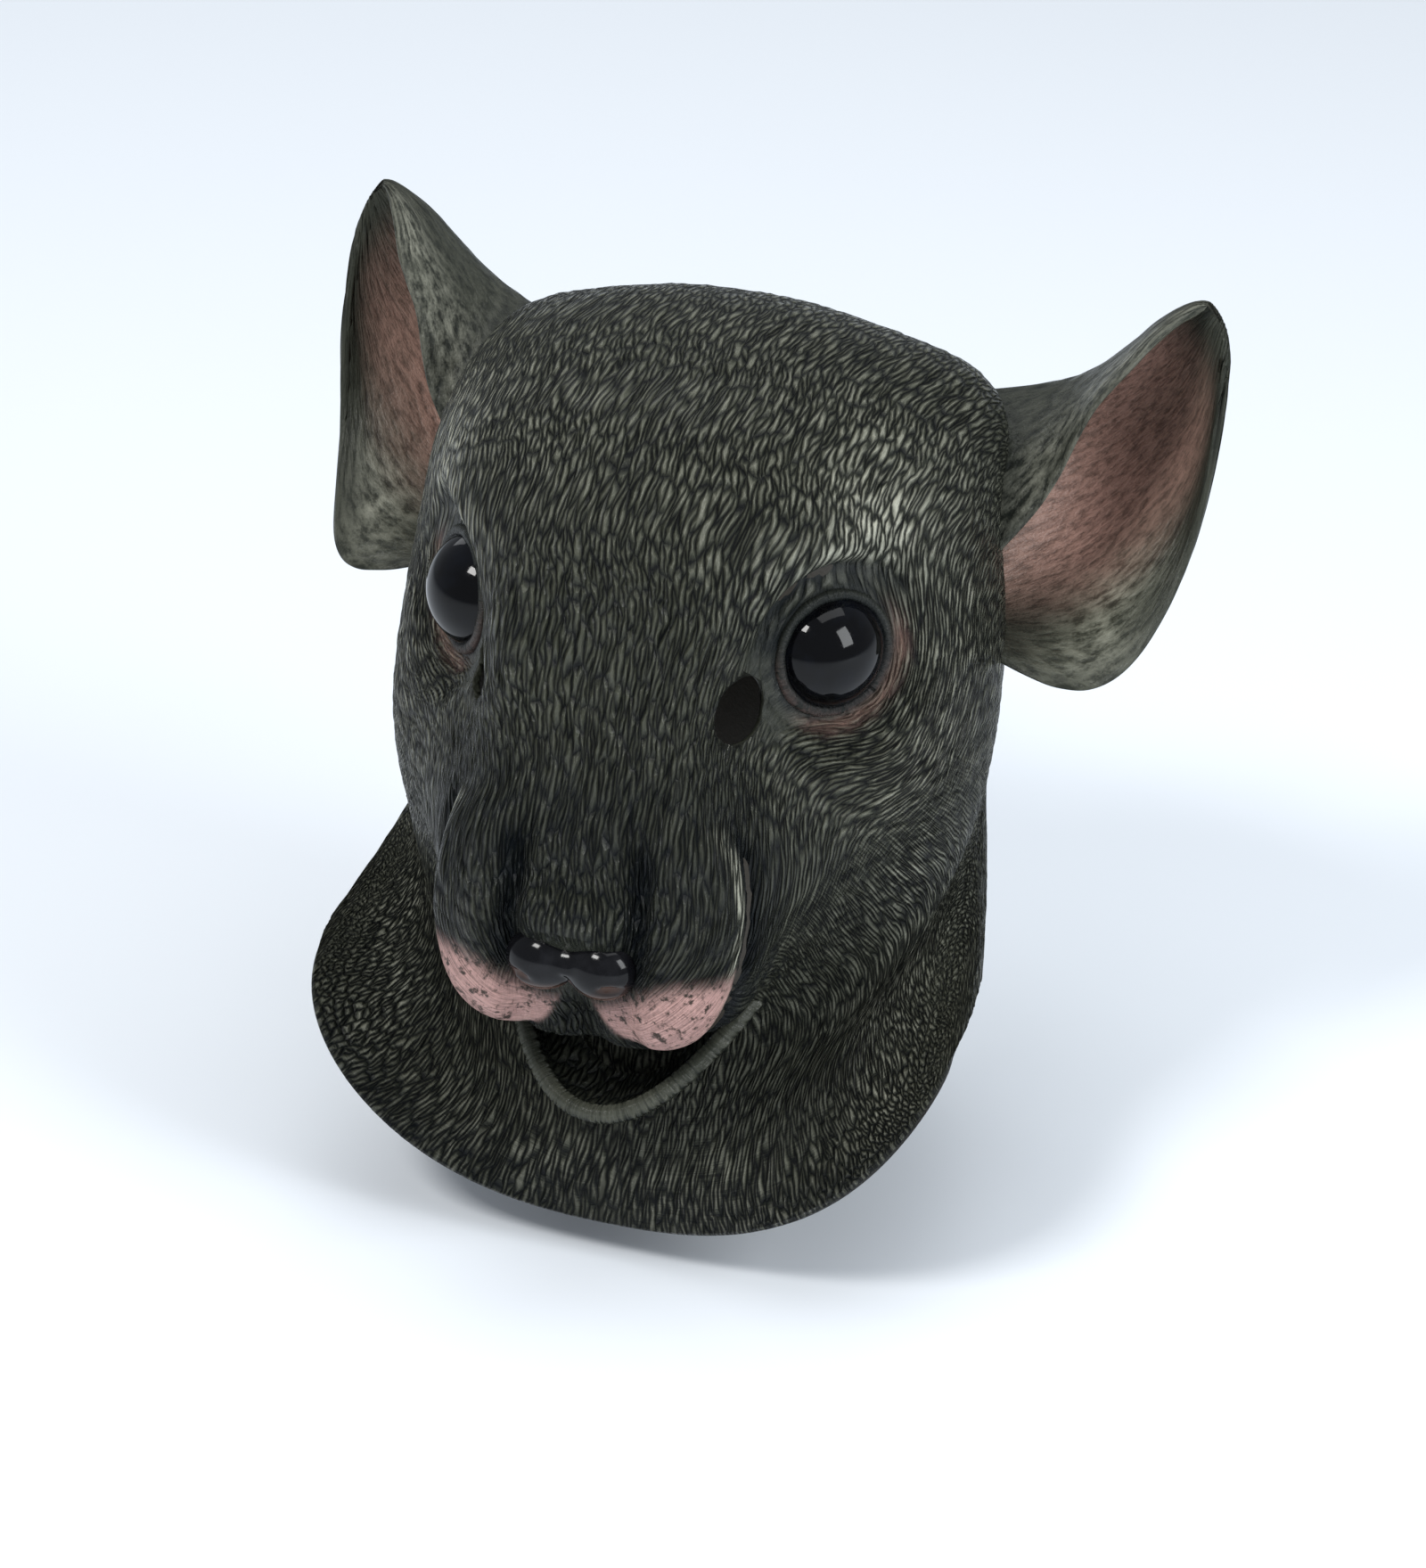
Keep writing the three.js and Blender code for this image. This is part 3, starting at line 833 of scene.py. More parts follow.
@dataclass(frozen=True)
class Skin:
    """The head's latex shell: a fine outer face with its fur, a plain inner face, and its openings.

    The tables pair the name of a form on the skin with its height in millimetres, with how much painted shade
    it takes, or with how much it is lightened, partly by dry-brushing and partly by painted highlight.
    """

    rings: int = 140
    columns: int = 640
    coarser: int = 4
    inner_rings: int = 32
    hem_round: float = 0.7
    stroke_height: float = 0.95
    strokes: FurStrokes = FurStrokes()
    pads: WhiskerPads = WhiskerPads()
    folds: EyeFolds = EyeFolds()
    heights: tuple = (
        ("saddle", 7.0),
        ("cushion", 6.0),
        ("drape", 6.0),
        ("brow", 1.5),
        ("fold", 0.9),
        ("above", -2.6),
        ("furrow", -3.0),
        ("crease", -3.4),
    )
    shades: tuple = (
        ("crease", 1.0),
        ("above", 0.85),
        ("lid", 0.8),
        ("furrow", 0.8),
        ("corner", 0.6),
        ("under", 0.45),
        ("socket", 0.4),
        ("saddle", 0.25),
    )
    # Lightening of the stroke tops: dry-brushed wear together with painted highlights on the pads' rims,
    # brow, temple, hem and cheeks.
    dry_brush_and_highlight: float = 0.3
    dry_brush_and_highlight_weights: tuple = (
        ("rim", 3.2),
        ("brow", 1.2),
        ("temple", 0.8),
        ("hem", 0.5),
        ("cheek", 0.4),
        ("front", -0.2),
    )
    # These forms' stroke values are lifted in the colour only, to paint highlights on them.
    raised: tuple = (("rim", 0.5), ("brow", 0.4), ("temple", 0.4))
    bald: float = 0.9
    bald_saddle: float = 0.6
    bald_above: float = 0.65
    lid_tint: float = 0.4
    wetness: float = 0.6
    flesh_clears: float = 0.8
    most_wear_and_highlight: float = 3.0
    low_layer: float = 9.0
    below_eye_reach: float = 46.0
    below_eye_sweep: float = 1.3
    eye_reach: float = 36.0
    eye_sweep: float = 0.35
    eye_flow: float = 78.0
    run_wave: float = 1.5
    saddle_reach: float = 26.0
    temple_reach: float = 36.0
    nose_bare: Span = (14.0, 22.0)
    nose_low: Span = (-102.0, -94.0)
    under_low: Span = (-60.0, -20.0)
    cheek: Span = (104.0, 12.0)
    cheek_front: Span = (30.0, 70.0)
    cheek_low: Span = (10.0, 40.0)
    hem: Span = (-228.0, 13.0)
    hem_front: Span = (-34.0, -10.0)
    underside: Span = (-0.85, -0.7)
    wall_values: tuple = (("stroke", 0.4), ("shade", 0.6), ("flesh", 0.1), ("clean", 1.0))

    def wave(self, points: np.ndarray) -> np.ndarray:
        """How far the strokes wander: a slow product of sines over x, y and z and a quicker sine.

        Args:
            points: The surface.

        Returns:
            Millimetres.
        """
        x, y, z = np.moveaxis(points, -1, 0)
        slow = 2.2 * np.sin(x / 19 + 1.3) * np.sin(z / 23 + y / 31)
        return slow + 1.2 * np.sin(y / 9 + z / 13 + 2)

    def bend(self, points: np.ndarray, run: np.ndarray, flow: np.ndarray) -> np.ndarray:
        """What turns the strokes aside near an eye: a fan below it, and a gathering towards it.

        Args:
            points: The surface.
            run: The length from the nose.
            flow: The length round the head.

        Returns:
            Millimetres, to add to the flow.
        """
        sign = np.sign(points[..., 0])
        below = bell(distance_to(points, BELOW_EYE), 0, self.below_eye_reach)
        fan = (run - (run * below).sum() / below.sum()) * below
        near = bell(distance_to(points, EYE_PLACE), 0, self.eye_reach)
        return -sign * self.below_eye_sweep * fan - self.eye_sweep * (flow - sign * self.eye_flow) * near

    def marks(self, points: np.ndarray, wave: np.ndarray) -> dict:
        """Where each form on the skin lies, from 0 to 1.

        Args:
            points: The surface.
            wave: How far the strokes wander.

        Returns:
            Arrays by name.
        """
        wide, y, z = np.moveaxis(left_half(points), -1, 0)
        marks = {**self.pads.marks(points, wave), **self.folds.marks(points)}
        marks["under"] = marks["front"] * fade(z, *self.under_low) * (1 - marks["rim"])
        marks["nose"] = fade(distance_to(points, NOSE_PLACE), *self.nose_bare) * fade(z, *self.nose_low)
        marks["saddle"] = bell(distance_to(points, EAR_SADDLE), 0, self.saddle_reach)
        marks["temple"] = bell(distance_to(points, TEMPLE), 0, self.temple_reach)
        marks["cheek"] = bell(wide, *self.cheek) * fade(y, *self.cheek_front) * fade(z, *self.cheek_low)
        marks["hem"] = bell(z, *self.hem) * fade(y, *self.hem_front)
        return marks

    def relief(self, points: np.ndarray, angle: np.ndarray, run: np.ndarray) -> dict:
        """What is laid over the smooth head: the sum of its forms and strokes, and its colours.

        Args:
            points: The outer surface, rings by columns by three.
            angle: The angle round the head.
            run: The length from the nose.

        Returns:
            Arrays by name: rise in millimetres, and the values that the latex is coloured by.
        """
        contours = self.strokes.contours(points, run)
        flow = self.strokes.flow(contours, run)
        rows = np.arange(len(contours)) * self.strokes.row
        half = np.abs(np.interp(run, rows, contours[:, self.columns // 2]))
        wave = self.wave(points)
        bend = wave + self.bend(points, run, flow)
        along = run + self.run_wave * wave
        stroke = self.strokes.height(contours, along, bend)
        marks = self.marks(points, wave)
        flesh, lid_flesh = marks["flesh"], marks["lid_flesh"]
        fur = 1 - self.bald * np.maximum(flesh, marks["nose"])
        fur = fur * (1 - self.bald * np.maximum(marks["lid"], marks["corner"]))
        fur = fur * (1 - self.bald_saddle * marks["saddle"]) * (1 - self.bald_above * marks["above"])
        # Painted shade: creases, furrows, hollows round the eyes, under the brow, on the muzzle and where the
        # ears join are darkened in the colour.
        shade = np.clip(weighted(marks, self.shades), 0, 1)
        low_side = np.sign(flow) * (np.abs(flow) - half) + wave
        return {
            "rise": self.stroke_height * fur * stroke + weighted(marks, self.heights),
            # The stroke value carries painted highlights on the pads' rims, the brow and the temple.
            "stroke": np.clip(stroke + weighted(marks, self.raised), 0, 1),
            "fur": fur,
            "flesh": np.clip(flesh * (1 - marks["crease"]) + self.lid_tint * lid_flesh, 0, 1),
            "clean": lid_flesh,
            # Dry-brushed wear together with painted highlights.
            "wear_and_highlight": np.clip(self.dry_brush_and_highlight + weighted(marks, self.dry_brush_and_highlight_weights), 0, self.most_wear_and_highlight),
            "wet": self.wetness * marks["front"] * (1 - flesh),
            "shade": shade * (1 - self.flesh_clears * flesh) * (1 - self.flesh_clears * lid_flesh),
            "low": fade(-np.abs(np.sin(angle / 2)), *self.underside),
            "flow": np.stack([flow + bend, along, np.zeros_like(run)], -1),
            "flow_low": np.stack([low_side, along, np.full_like(run, self.low_layer)], -1),
        }

    def form(self) -> Form:
        """The closed shell: outer rings, a rounded hem, and the inner rings with fewer columns.

        Returns:
            The form before its openings are cut.
        """
        along, angle = HEAD.places(self.rings, self.columns)
        outer = HEAD.point(along, angle)
        normal = HEAD.normal(HEAD.point, along, angle)
        nose = HEAD.point(np.zeros(1), np.zeros(1))
        from_nose = np.concatenate([np.repeat(nose[None], self.columns, 1), outer])
        run = np.cumsum(np.linalg.norm(np.diff(from_nose, axis=0), axis=-1), axis=0)
        values = self.relief(outer, angle, run)
        rise = values.pop("rise")
        raised = outer + normal * rise[..., None]
        inner_last = outer[-1] - normal[-1] * SKIN_WALL
        down = unit(outer[-1] - outer[-2])
        hem = (raised[-1] + inner_last) / 2 + down * self.hem_round
        small = self.columns // self.coarser
        deep_along, deep_angle = HEAD.places(self.inner_rings, small)
        inner = HEAD.skin(deep_along, deep_angle, SKIN_WALL)[::-1]
        inner_nose = HEAD.skin(np.zeros(1), np.zeros(1), SKIN_WALL)
        points = np.concatenate([nose, raised.reshape(-1, 3), hem, inner.reshape(-1, 3), inner_nose])
        count = self.rings * self.columns
        outside = 1 + np.arange(count).reshape(self.rings, self.columns)
        edge = 1 + count + np.arange(self.columns)
        inside = 1 + count + self.columns + np.arange(self.inner_rings * small).reshape(-1, small)
        faces = tube_faces(outside) + fan_faces(0, outside[0]) + ring_faces(outside[-1], edge)
        faces += self.coarse_seam(edge, inside[0])
        faces += tube_faces(inside) + fan_faces(len(points) - 1, inside[-1][::-1])
        spare = dict(self.wall_values)
        filled = {
            name: np.concatenate(
                [
                    value[:1, 0],
                    value.reshape(count, *value.shape[2:]),
                    value[-1],
                    np.full((inside.size + 1, *value.shape[2:]), spare.get(name, 0.0)),
                ]
            )
            for name, value in values.items()
        }
        return Form(points, faces, filled)

    def coarse_seam(self, edge: np.ndarray, ring: np.ndarray) -> list:
        """Joins a fine ring to a coarse one: each coarse step takes a few fine ones and one triangle.

        Args:
            edge: The fine ring's numbers.
            ring: The coarse ring's numbers.

        Returns:
            A list of triangles.
        """
        fine = edge.reshape(-1, self.coarser)
        after = np.roll(ring, -1)
        following = np.roll(edge, -self.coarser).reshape(-1, self.coarser)
        steps = np.concatenate([fine, following[:, :1]], 1)
        fans = [np.stack([steps[:, k], steps[:, k + 1], ring], -1) for k in range(self.coarser)]
        closing = np.stack([steps[:, -1], after, ring], -1)
        return np.concatenate(fans + [closing]).tolist()

    def build(self, material: bpy.types.Material) -> bpy.types.Object:
        """Makes the shell and cuts the seats of the eyes, the peep holes and the mouth through it.

        Args:
            material: The latex.

        Returns:
            The piece.
        """
        piece = add_piece("skin", self.form(), Slot.SKIN, material, "mask_skin")
        holes = [ball(MOUTH_PLACE, np.array([0.0, 0.0, 1.0]), MOUTH_SIZE)]
        for side in Side:
            centre = on_side(EYE_PLACE - EYE_LOOK * EYE_SUNK, side)
            seat = 2 * (EYE_RADIUS + EYE_GAP)
            holes.append(ball(centre, on_side(EYE_LOOK, side), (seat, seat, seat)))
            holes.append(ball(on_side(PEEP_PLACE, side), on_side(PEEP_LOOK, side), PEEP_SIZE))
        cut(piece, holes)
        return piece


HOLLOW_RINGS = 34
HOLLOW_COLUMNS = 84
HOLLOW_BEYOND = 20.0


def hollow() -> Form:
    """The space inside the skin as one closed form, to trim what is joined to the skin from outside.

    It starts within the wall, by TRIM_DEPTH, and goes on past the hem.

    Returns:
        The form.
    """
    along, angle = HEAD.places(HOLLOW_RINGS, HOLLOW_COLUMNS)
    rings = HEAD.skin(along, angle, TRIM_DEPTH)
    beyond = rings[-1] + HOLLOW_BEYOND * unit(rings[-1] - rings[-2])
    return closed_tube(np.concatenate([rings, beyond[None]]), {})


def sheet_form(grid: np.ndarray, half: np.ndarray, first: dict, second: dict) -> Form:
    """A sheet with two faces, as one closed tube of rings: the grid moved both ways along its normal.

    Args:
        grid: The sheet's middle surface, rows by columns by three.
        half: Half its thickness at each point.
        first: Arrays of rows by columns for the face that the normal points to.
        second: The same names for the other face.

    Returns:
        The form.
    """
    normal = unit(np.cross(np.gradient(grid, axis=0), np.gradient(grid, axis=1)))
    front = grid + normal * half[..., None]
    back = grid - normal * half[..., None]
    values = {name: np.concatenate([value, second[name][:, ::-1]], 1) for name, value in first.items()}
    return closed_tube(np.concatenate([front, back[:, ::-1]], 1), values)


@dataclass(frozen=True)
class Ear:
    """A cupped ear: a sheet through ribs from its root to its tip, each through four named points.

    A rib's rows are: the share of the way out, and its front, ridge, back and low point as shares of
    spread, depth and height from the ear's place.
    """

    spread: float = 80.0
    depth: float = 80.0
    height: float = 140.0
    wall: float = 3.2
    across: float = 75.0
    out_length: float = 110.0
    tip_length: float = 100.0
    edge_round: float = 2.2
    edge_least: float = 0.03
    rim_roll: Span = (5.0, 4.0)
    rim_height: float = 0.1925
    hair_height: float = 0.2
    lining_edge: Span = (-13.0, -3.0)
    lining_over: Span = (0.66, 0.9)
    tip_dark: Span = (0.02, 0.3)
    lobe_over: Span = (0.88, 0.12)
    lobe_out: Span = (0.42, 0.2)
    glint: Span = (0.05, 0.0583)
    rows: int = 110
    columns: int = 80
    rib_knots: tuple = (0.0, 0.3, 0.68, 1.0)
    ribs: tuple = (
        (0.0, (0.0, -0.2, -0.057), (-0.3, 0.25, 0.34), (-0.025, 0.15, -0.143), (0.05, -0.37, -0.21)),
        (0.3, (0.325, -0.05, 0.2), (0.09, 0.66, 0.31), (0.36, 0.48, -0.07), (0.475, -0.46, -0.27)),
        (0.55, (0.45, 0.1, 0.386), (0.34, 0.73, 0.37), (0.64, 0.6, 0.085), (0.77, -0.25, -0.255)),
        (0.78, (0.61, 0.265, 0.514), (0.565, 0.745, 0.485), (0.84, 0.615, 0.265), (0.935, 0.225, -0.015)),
        (0.93, (0.75, 0.5, 0.593), (0.74, 0.7, 0.58), (0.925, 0.615, 0.45), (0.985, 0.465, 0.315)),
        (1.0, (0.85, 0.65, 0.621), (0.865, 0.665, 0.625), (0.94, 0.665, 0.565), (0.975, 0.625, 0.5)),
    )

    def surface(self) -> tuple[np.ndarray, np.ndarray, np.ndarray]:
        """The ear's middle surface for the left side: a spline through the ribs, then one across each.

        Returns:
            The points, and the share of the way out and across at each.
        """
        rows = np.array([np.ravel(rib[1:]) for rib in self.ribs])
        out = np.linspace(0, 1, self.rows)
        knots = natural_spline([rib[0] for rib in self.ribs], rows, out).reshape(self.rows, 4, 3)
        over = np.linspace(0, 1, self.columns)
        flat = knots.transpose(1, 0, 2).reshape(4, -1)
        grid = natural_spline(self.rib_knots, flat, over).reshape(self.columns, self.rows, 3)
        sizes = np.array([self.spread, self.depth, self.height])
        points = grid.transpose(1, 0, 2) * sizes + EAR_PLACE
        return points, *np.meshgrid(out, over, indexing="ij")

    def faces(self, out: np.ndarray, over: np.ndarray, hairs: np.ndarray) -> tuple[dict, dict]:
        """What the latex of the lining and of the back is coloured by, painted shade and painted highlights
        among it, from the shares out and across.

        Args:
            out, over: The share of the way out and across.
            hairs: The fine strokes.

        Returns:
            Arrays by name for the lining and for the back.
        """
        tip = 1 - out
        edge = np.minimum(np.minimum(over, 1 - over) * self.across, tip * self.tip_length)
        inside = fade(-edge, *self.lining_edge) * fade(over, *self.lining_over)
        inside = inside * (1 - 0.75 * fade(tip, *self.tip_dark))
        blotch = 0.76 + 0.24 * np.sin(over * 9 + 2.5 * out + 1.0) * np.cos(out * 7 - over * 3)
        lobe = bell(over, *self.lobe_over) * bell(out, *self.lobe_out)
        glint = bell(over, *self.glint)
        shared = {
            "stroke": 0.5 + 0.3 * hairs,
            "flow": np.stack([over * self.across, out * self.out_length, np.zeros_like(out)], -1),
        }
        lining = {
            "flesh": inside * blotch,
            "clean": np.full_like(out, 0.85),
            # Wear and painted highlight on the lower lobe, and a painted highlight along the front rim; the
            # lining's edges take painted shade.
            "wear_and_highlight": np.clip(0.1 + 0.9 * lobe + 1.4 * glint, 0, 2),
            "shade": 0.4 * (1 - inside) * (1 - lobe) * (1 - glint),
            "fur": np.zeros_like(out),
        }
        back = {
            "flesh": np.zeros_like(out),
            "clean": np.ones_like(out),
            # A painted highlight along the front rim over a little wear; painted shade, darker towards the
            # root.
            "wear_and_highlight": 0.12 + 1.4 * glint,
            "shade": 0.35 + 0.2 * fade(out, 0.2, 0.5),
            "fur": np.full_like(out, 0.1),
        }
        return {**lining, **shared}, {**back, **shared}

    def build(self, side: Side, material: bpy.types.Material) -> bpy.types.Object:
        """Makes one ear with fine strokes from root to tip, and trims it in the skin's wall.

        Half the thickness is half the wall times a rounding at the edge, plus a bell for the rolled rim.

        Args:
            side: Which ear.
            material: The latex.

        Returns:
            The piece.
        """
        grid, out, over = self.surface()
        grid = on_side(grid, side)
        edge = np.minimum(np.minimum(over, 1 - over) * self.across, (1 - out) * self.tip_length)
        rounding = np.sqrt(np.clip(edge / self.edge_round, self.edge_least, 1))
        half = self.wall / 2 * (rounding + self.rim_height * bell(edge, *self.rim_roll))
        wander = 3 * np.sin(out * 9) + 2 * np.sin(over * 17)
        hairs = np.sin(over * 130 + wander) * np.sin(out * 26 + over * 40)
        normal = unit(np.cross(np.gradient(grid, axis=0), np.gradient(grid, axis=1)))
        grid = grid + self.hair_height * normal * hairs[..., None]
        lining, back = self.faces(out, over, hairs)
        first, second = (lining, back) if side is Side.RIGHT else (back, lining)
        form = sheet_form(grid, half, first, second)
        piece = add_piece(f"ear_{side.name.lower()}", form, Slot.SKIN, material, "mask_skin")
        cut(piece, [hollow()])
        return piece


@dataclass(frozen=True)
class LowerJaw:
    """The scoop under the muzzle: a sheet from the lip's edge down and back to the throat."""

    width: float = 104.0
    reach: float = 46.0
    drop: float = 38.0
    depth: float = 20.0
    bulge: float = 7.0
    taper: float = 0.4
    pointed: float = 2.1
    wall: float = 3.4
    lip: float = 0.34
    lip_roll: float = 1.2
    edge_round: float = 0.08
    edge_least: float = 0.04
    fur: Span = (-0.1, -0.02)
    glint: Span = (0.04, 0.05)
    wet: Span = (0.35, 0.8)
    rows: int = 120
    columns: int = 44

    def build(self, material: bpy.types.Material) -> bpy.types.Object:
        """Makes the jaw with a rolled lip and trims it in the skin's wall.

        With u across from -1 to 1, d down from 0 to 1 and f = 1 - |u|^pointed: x is half the width * u,
        tapered; y goes forward by reach * f * (1 - d); z drops by drop * f, tapered, and depth * d.

        Args:
            material: The latex.

        Returns:
            The piece.
        """
        sideways, down = np.meshgrid(
            np.linspace(-1, 1, self.rows), np.linspace(0, 1, self.columns), indexing="ij"
        )
        forward = 1 - np.abs(sideways) ** self.pointed
        taper = 1 - self.taper * down
        bulge = self.bulge * np.sin(np.pi * down)
        x = self.width / 2 * sideways * taper
        y = -self.reach * forward * (1 - down) - bulge * forward
        z = -self.drop * forward * taper - self.depth * down - bulge
        lip = bell(down, 0, self.lip)
        rounding = np.sqrt(np.clip(down / self.edge_round, self.edge_least, 1))
        half = self.wall / 2 * rounding * (1 + self.lip_roll * lip)
        values = {
            "stroke": 0.4 + 0.25 * lip,
            "fur": 0.75 * fade(-down, *self.fur),
            # A painted highlight along the lip's edge over a little wear; painted shade, lighter on the
            # rolled lip.
            "wear_and_highlight": 0.1 + 0.3 * bell(down, *self.glint),
            "shade": 0.4 - 0.1 * lip,
            "wet": 0.8 * fade(down, *self.wet),
            "flow": np.stack([x, y + z, np.zeros_like(x)], -1),
        }
        form = sheet_form(np.stack([x, y, z], -1) + LIP_PLACE, half, values, values)
        piece = add_piece("lower_jaw", form, Slot.SKIN, material, "mask_skin")
        cut(piece, [hollow()])
        return piece


@dataclass(frozen=True)
class Eyelid:
    """The rolled rim round an eye, a ring with a few soft wrinkles."""

    around: int = 120
    section: int = 20
    flat: float = 0.9
    wrinkle: float = 0.1
    fine_wrinkle: float = 0.06
    tint: float = 0.3
    tint_low: Span = (-22.0, 8.0)

    def build(self, side: Side, material: bpy.types.Material) -> bpy.types.Object:
        """A torus whose thickness waves a little: ring radius and tube radius swept round the eye's axis.

        Args:
            side: Which eye.
            material: The latex.

        Returns:
            The piece.
        """
        turns = TURN * np.arange(self.around) / self.around
        rolls = TURN * np.arange(self.section) / self.section
        turn, roll = np.meshgrid(turns, rolls, indexing="ij")
        wrinkles = self.wrinkle * np.sin(3 * turn) + self.fine_wrinkle * np.sin(11 * turn + 1)
        thick = LID_THICK / 2 * (1 + wrinkles)
        middle = EYE_APERTURE / 2 + LID_THICK / 4
        radius = middle + thick * np.cos(roll)
        local = np.stack([radius * np.cos(turn), radius * np.sin(turn), self.flat * thick * np.sin(roll)], -1)
        points = turned_to(local, on_side(EYE_LOOK, side)) + on_side(EYE_PLACE, side)
        outer = 0.5 + 0.5 * np.cos(roll)
        low = fade(points[..., 2], *self.tint_low)
        values = {
            "stroke": np.full_like(turn, 0.45),
            "flesh": self.tint * outer * low,
            # A little wear on the outer side; painted shade, darkest on the inner side next to the dome.
            "wear_and_highlight": 0.1 * outer,
            "shade": 1.0 - 0.3 * outer,
            "wet": np.full_like(turn, 0.25),
            "flow": np.stack([turn * middle, roll * 2, np.zeros_like(turn)], -1),
        }
        numbers = np.arange(turn.size).reshape(turn.shape)
        faces = tube_faces(np.concatenate([numbers, numbers[:1]]))
        flat = {name: value.reshape(turn.size, *value.shape[2:]) for name, value in values.items()}
        form = Form(points.reshape(-1, 3), faces, flat)
        return add_piece(f"eyelid_{side.name.lower()}", form, Slot.SKIN, material, "mask_skin")


@dataclass(frozen=True)
class EyeDome:
    """A hollow glossy dome, part of a sphere that reaches a little behind its opening."""

    wall: float = 2.0
    steps: int = 28
    around: int = 96

    def build(self, side: Side, material: bpy.types.Material) -> bpy.types.Object:
        """Turns the outer arc and the inner arc round the eye's axis.

        Args:
            side: Which eye.
            material: The gloss.

        Returns:
            The piece.
        """
        reach = np.arccos((EYE_SUNK - EYE_BEHIND) / EYE_RADIUS)
        arc = np.linspace(0, reach, self.steps + 1)[1:]
        angles = np.concatenate([arc, arc[::-1]])
        radii = np.repeat([EYE_RADIUS, EYE_RADIUS - self.wall], self.steps)
        turn = TURN * np.arange(self.around) / self.around
        wide = (radii * np.sin(angles))[:, None]
        high = (radii * np.cos(angles))[:, None] * np.ones(self.around)
        local = np.stack([wide * np.cos(turn), wide * np.sin(turn), high], -1)
        centre = on_side(EYE_PLACE - EYE_LOOK * EYE_SUNK, side)
        form = closed_tube(turned_to(local, on_side(EYE_LOOK, side)) + centre, {})
        return add_piece(f"dome_{side.name.lower()}", form, Slot.EYE, material, f"eye_{side.name.lower()}")


@dataclass(frozen=True)
class NosePad:
    """The two-lobed nose, each lobe a squashed ball with a nostril pressed into it."""

    width: float = 53.0
    lobe: float = 29.0
    height: float = 25.0
    depth: float = 22.0
    around: int = 72
    blend: float = 0.9
    bridge: tuple[float, float, float] = (0.6, 0.84, 0.74)
    bridge_front: Span = (-0.1, 0.5)
    nostril: float = 3.0
    nostril_at: Span = (19.0, 4.0)
    nostril_drop: float = 3.5
    nostril_thin: float = 1.6
    nostril_bend: float = 0.06
    underside: Span = (-10.0, -5.0)

    def lobe_way(self, ray: np.ndarray, radii: np.ndarray, side: Side) -> np.ndarray:
        """How far a ray from the nose's middle goes to leave a lobe: the larger root of a quadratic.

        Args:
            ray: Unit vectors.
            radii: The lobe's three radii.
            side: Which lobe.

        Returns:
            Lengths in millimetres.
        """
        centre = np.array([side.value * (self.width - self.lobe) / 2, 0, 0]) / radii
        square = ((ray / radii) ** 2).sum(-1)
        mixed = ((ray / radii) * centre).sum(-1)
        return (mixed + np.sqrt(mixed**2 - square * ((centre**2).sum() - 1))) / square

    def form(self) -> Form:
        """Both lobes as one body: along each ray from the middle, the soft maximum of the ways out.

        The third way is a small ellipsoid that bridges the lobes. The nostrils are bells of depth on the
        lower outer sides, bent like commas.

        Returns:
            The form.
        """
        theta, phi = np.meshgrid(
            np.linspace(0, np.pi, self.around // 2 + 1)[1:-1],
            TURN * np.arange(self.around) / self.around,
            indexing="ij",
        )
        ray = np.stack([np.cos(theta), np.sin(theta) * np.cos(phi), np.sin(theta) * np.sin(phi)], -1)
        radii = np.array([self.lobe, self.depth, self.height]) / 2
        bridge = 1 / np.sqrt(((ray / (radii * np.array(self.bridge))) ** 2).sum(-1))
        bridge = bridge * (0.75 + 0.25 * fade(-ray[..., 2], *self.bridge_front))
        ways = [self.lobe_way(ray, radii, side) for side in Side] + [bridge]
        reach = self.blend * (np.logaddexp.reduce([way / self.blend for way in ways]) - 0.5)
        local = ray * reach[..., None]
        x, y, z = np.moveaxis(local, -1, 0)
        beside = np.abs(x) - self.nostril_at[0]
        bent = z + self.nostril_drop + self.nostril_bend * beside**2
        dent = bell(np.abs(x), *self.nostril_at) * bell(bent, 0, self.nostril_thin) * fade(y, -2, 3)
        local = local * (1 - self.nostril * dent / reach)[..., None]
        return closed_tube(local + NOSE_PLACE, {"low": np.maximum(fade(z, *self.underside), dent)})

    def build(self, material: bpy.types.Material) -> bpy.types.Object:
        """Makes the nose.

        Args:
            material: The gloss.

        Returns:
            The piece.
        """
        return add_piece("nose", self.form(), Slot.NOSE, material, "nose_pad")


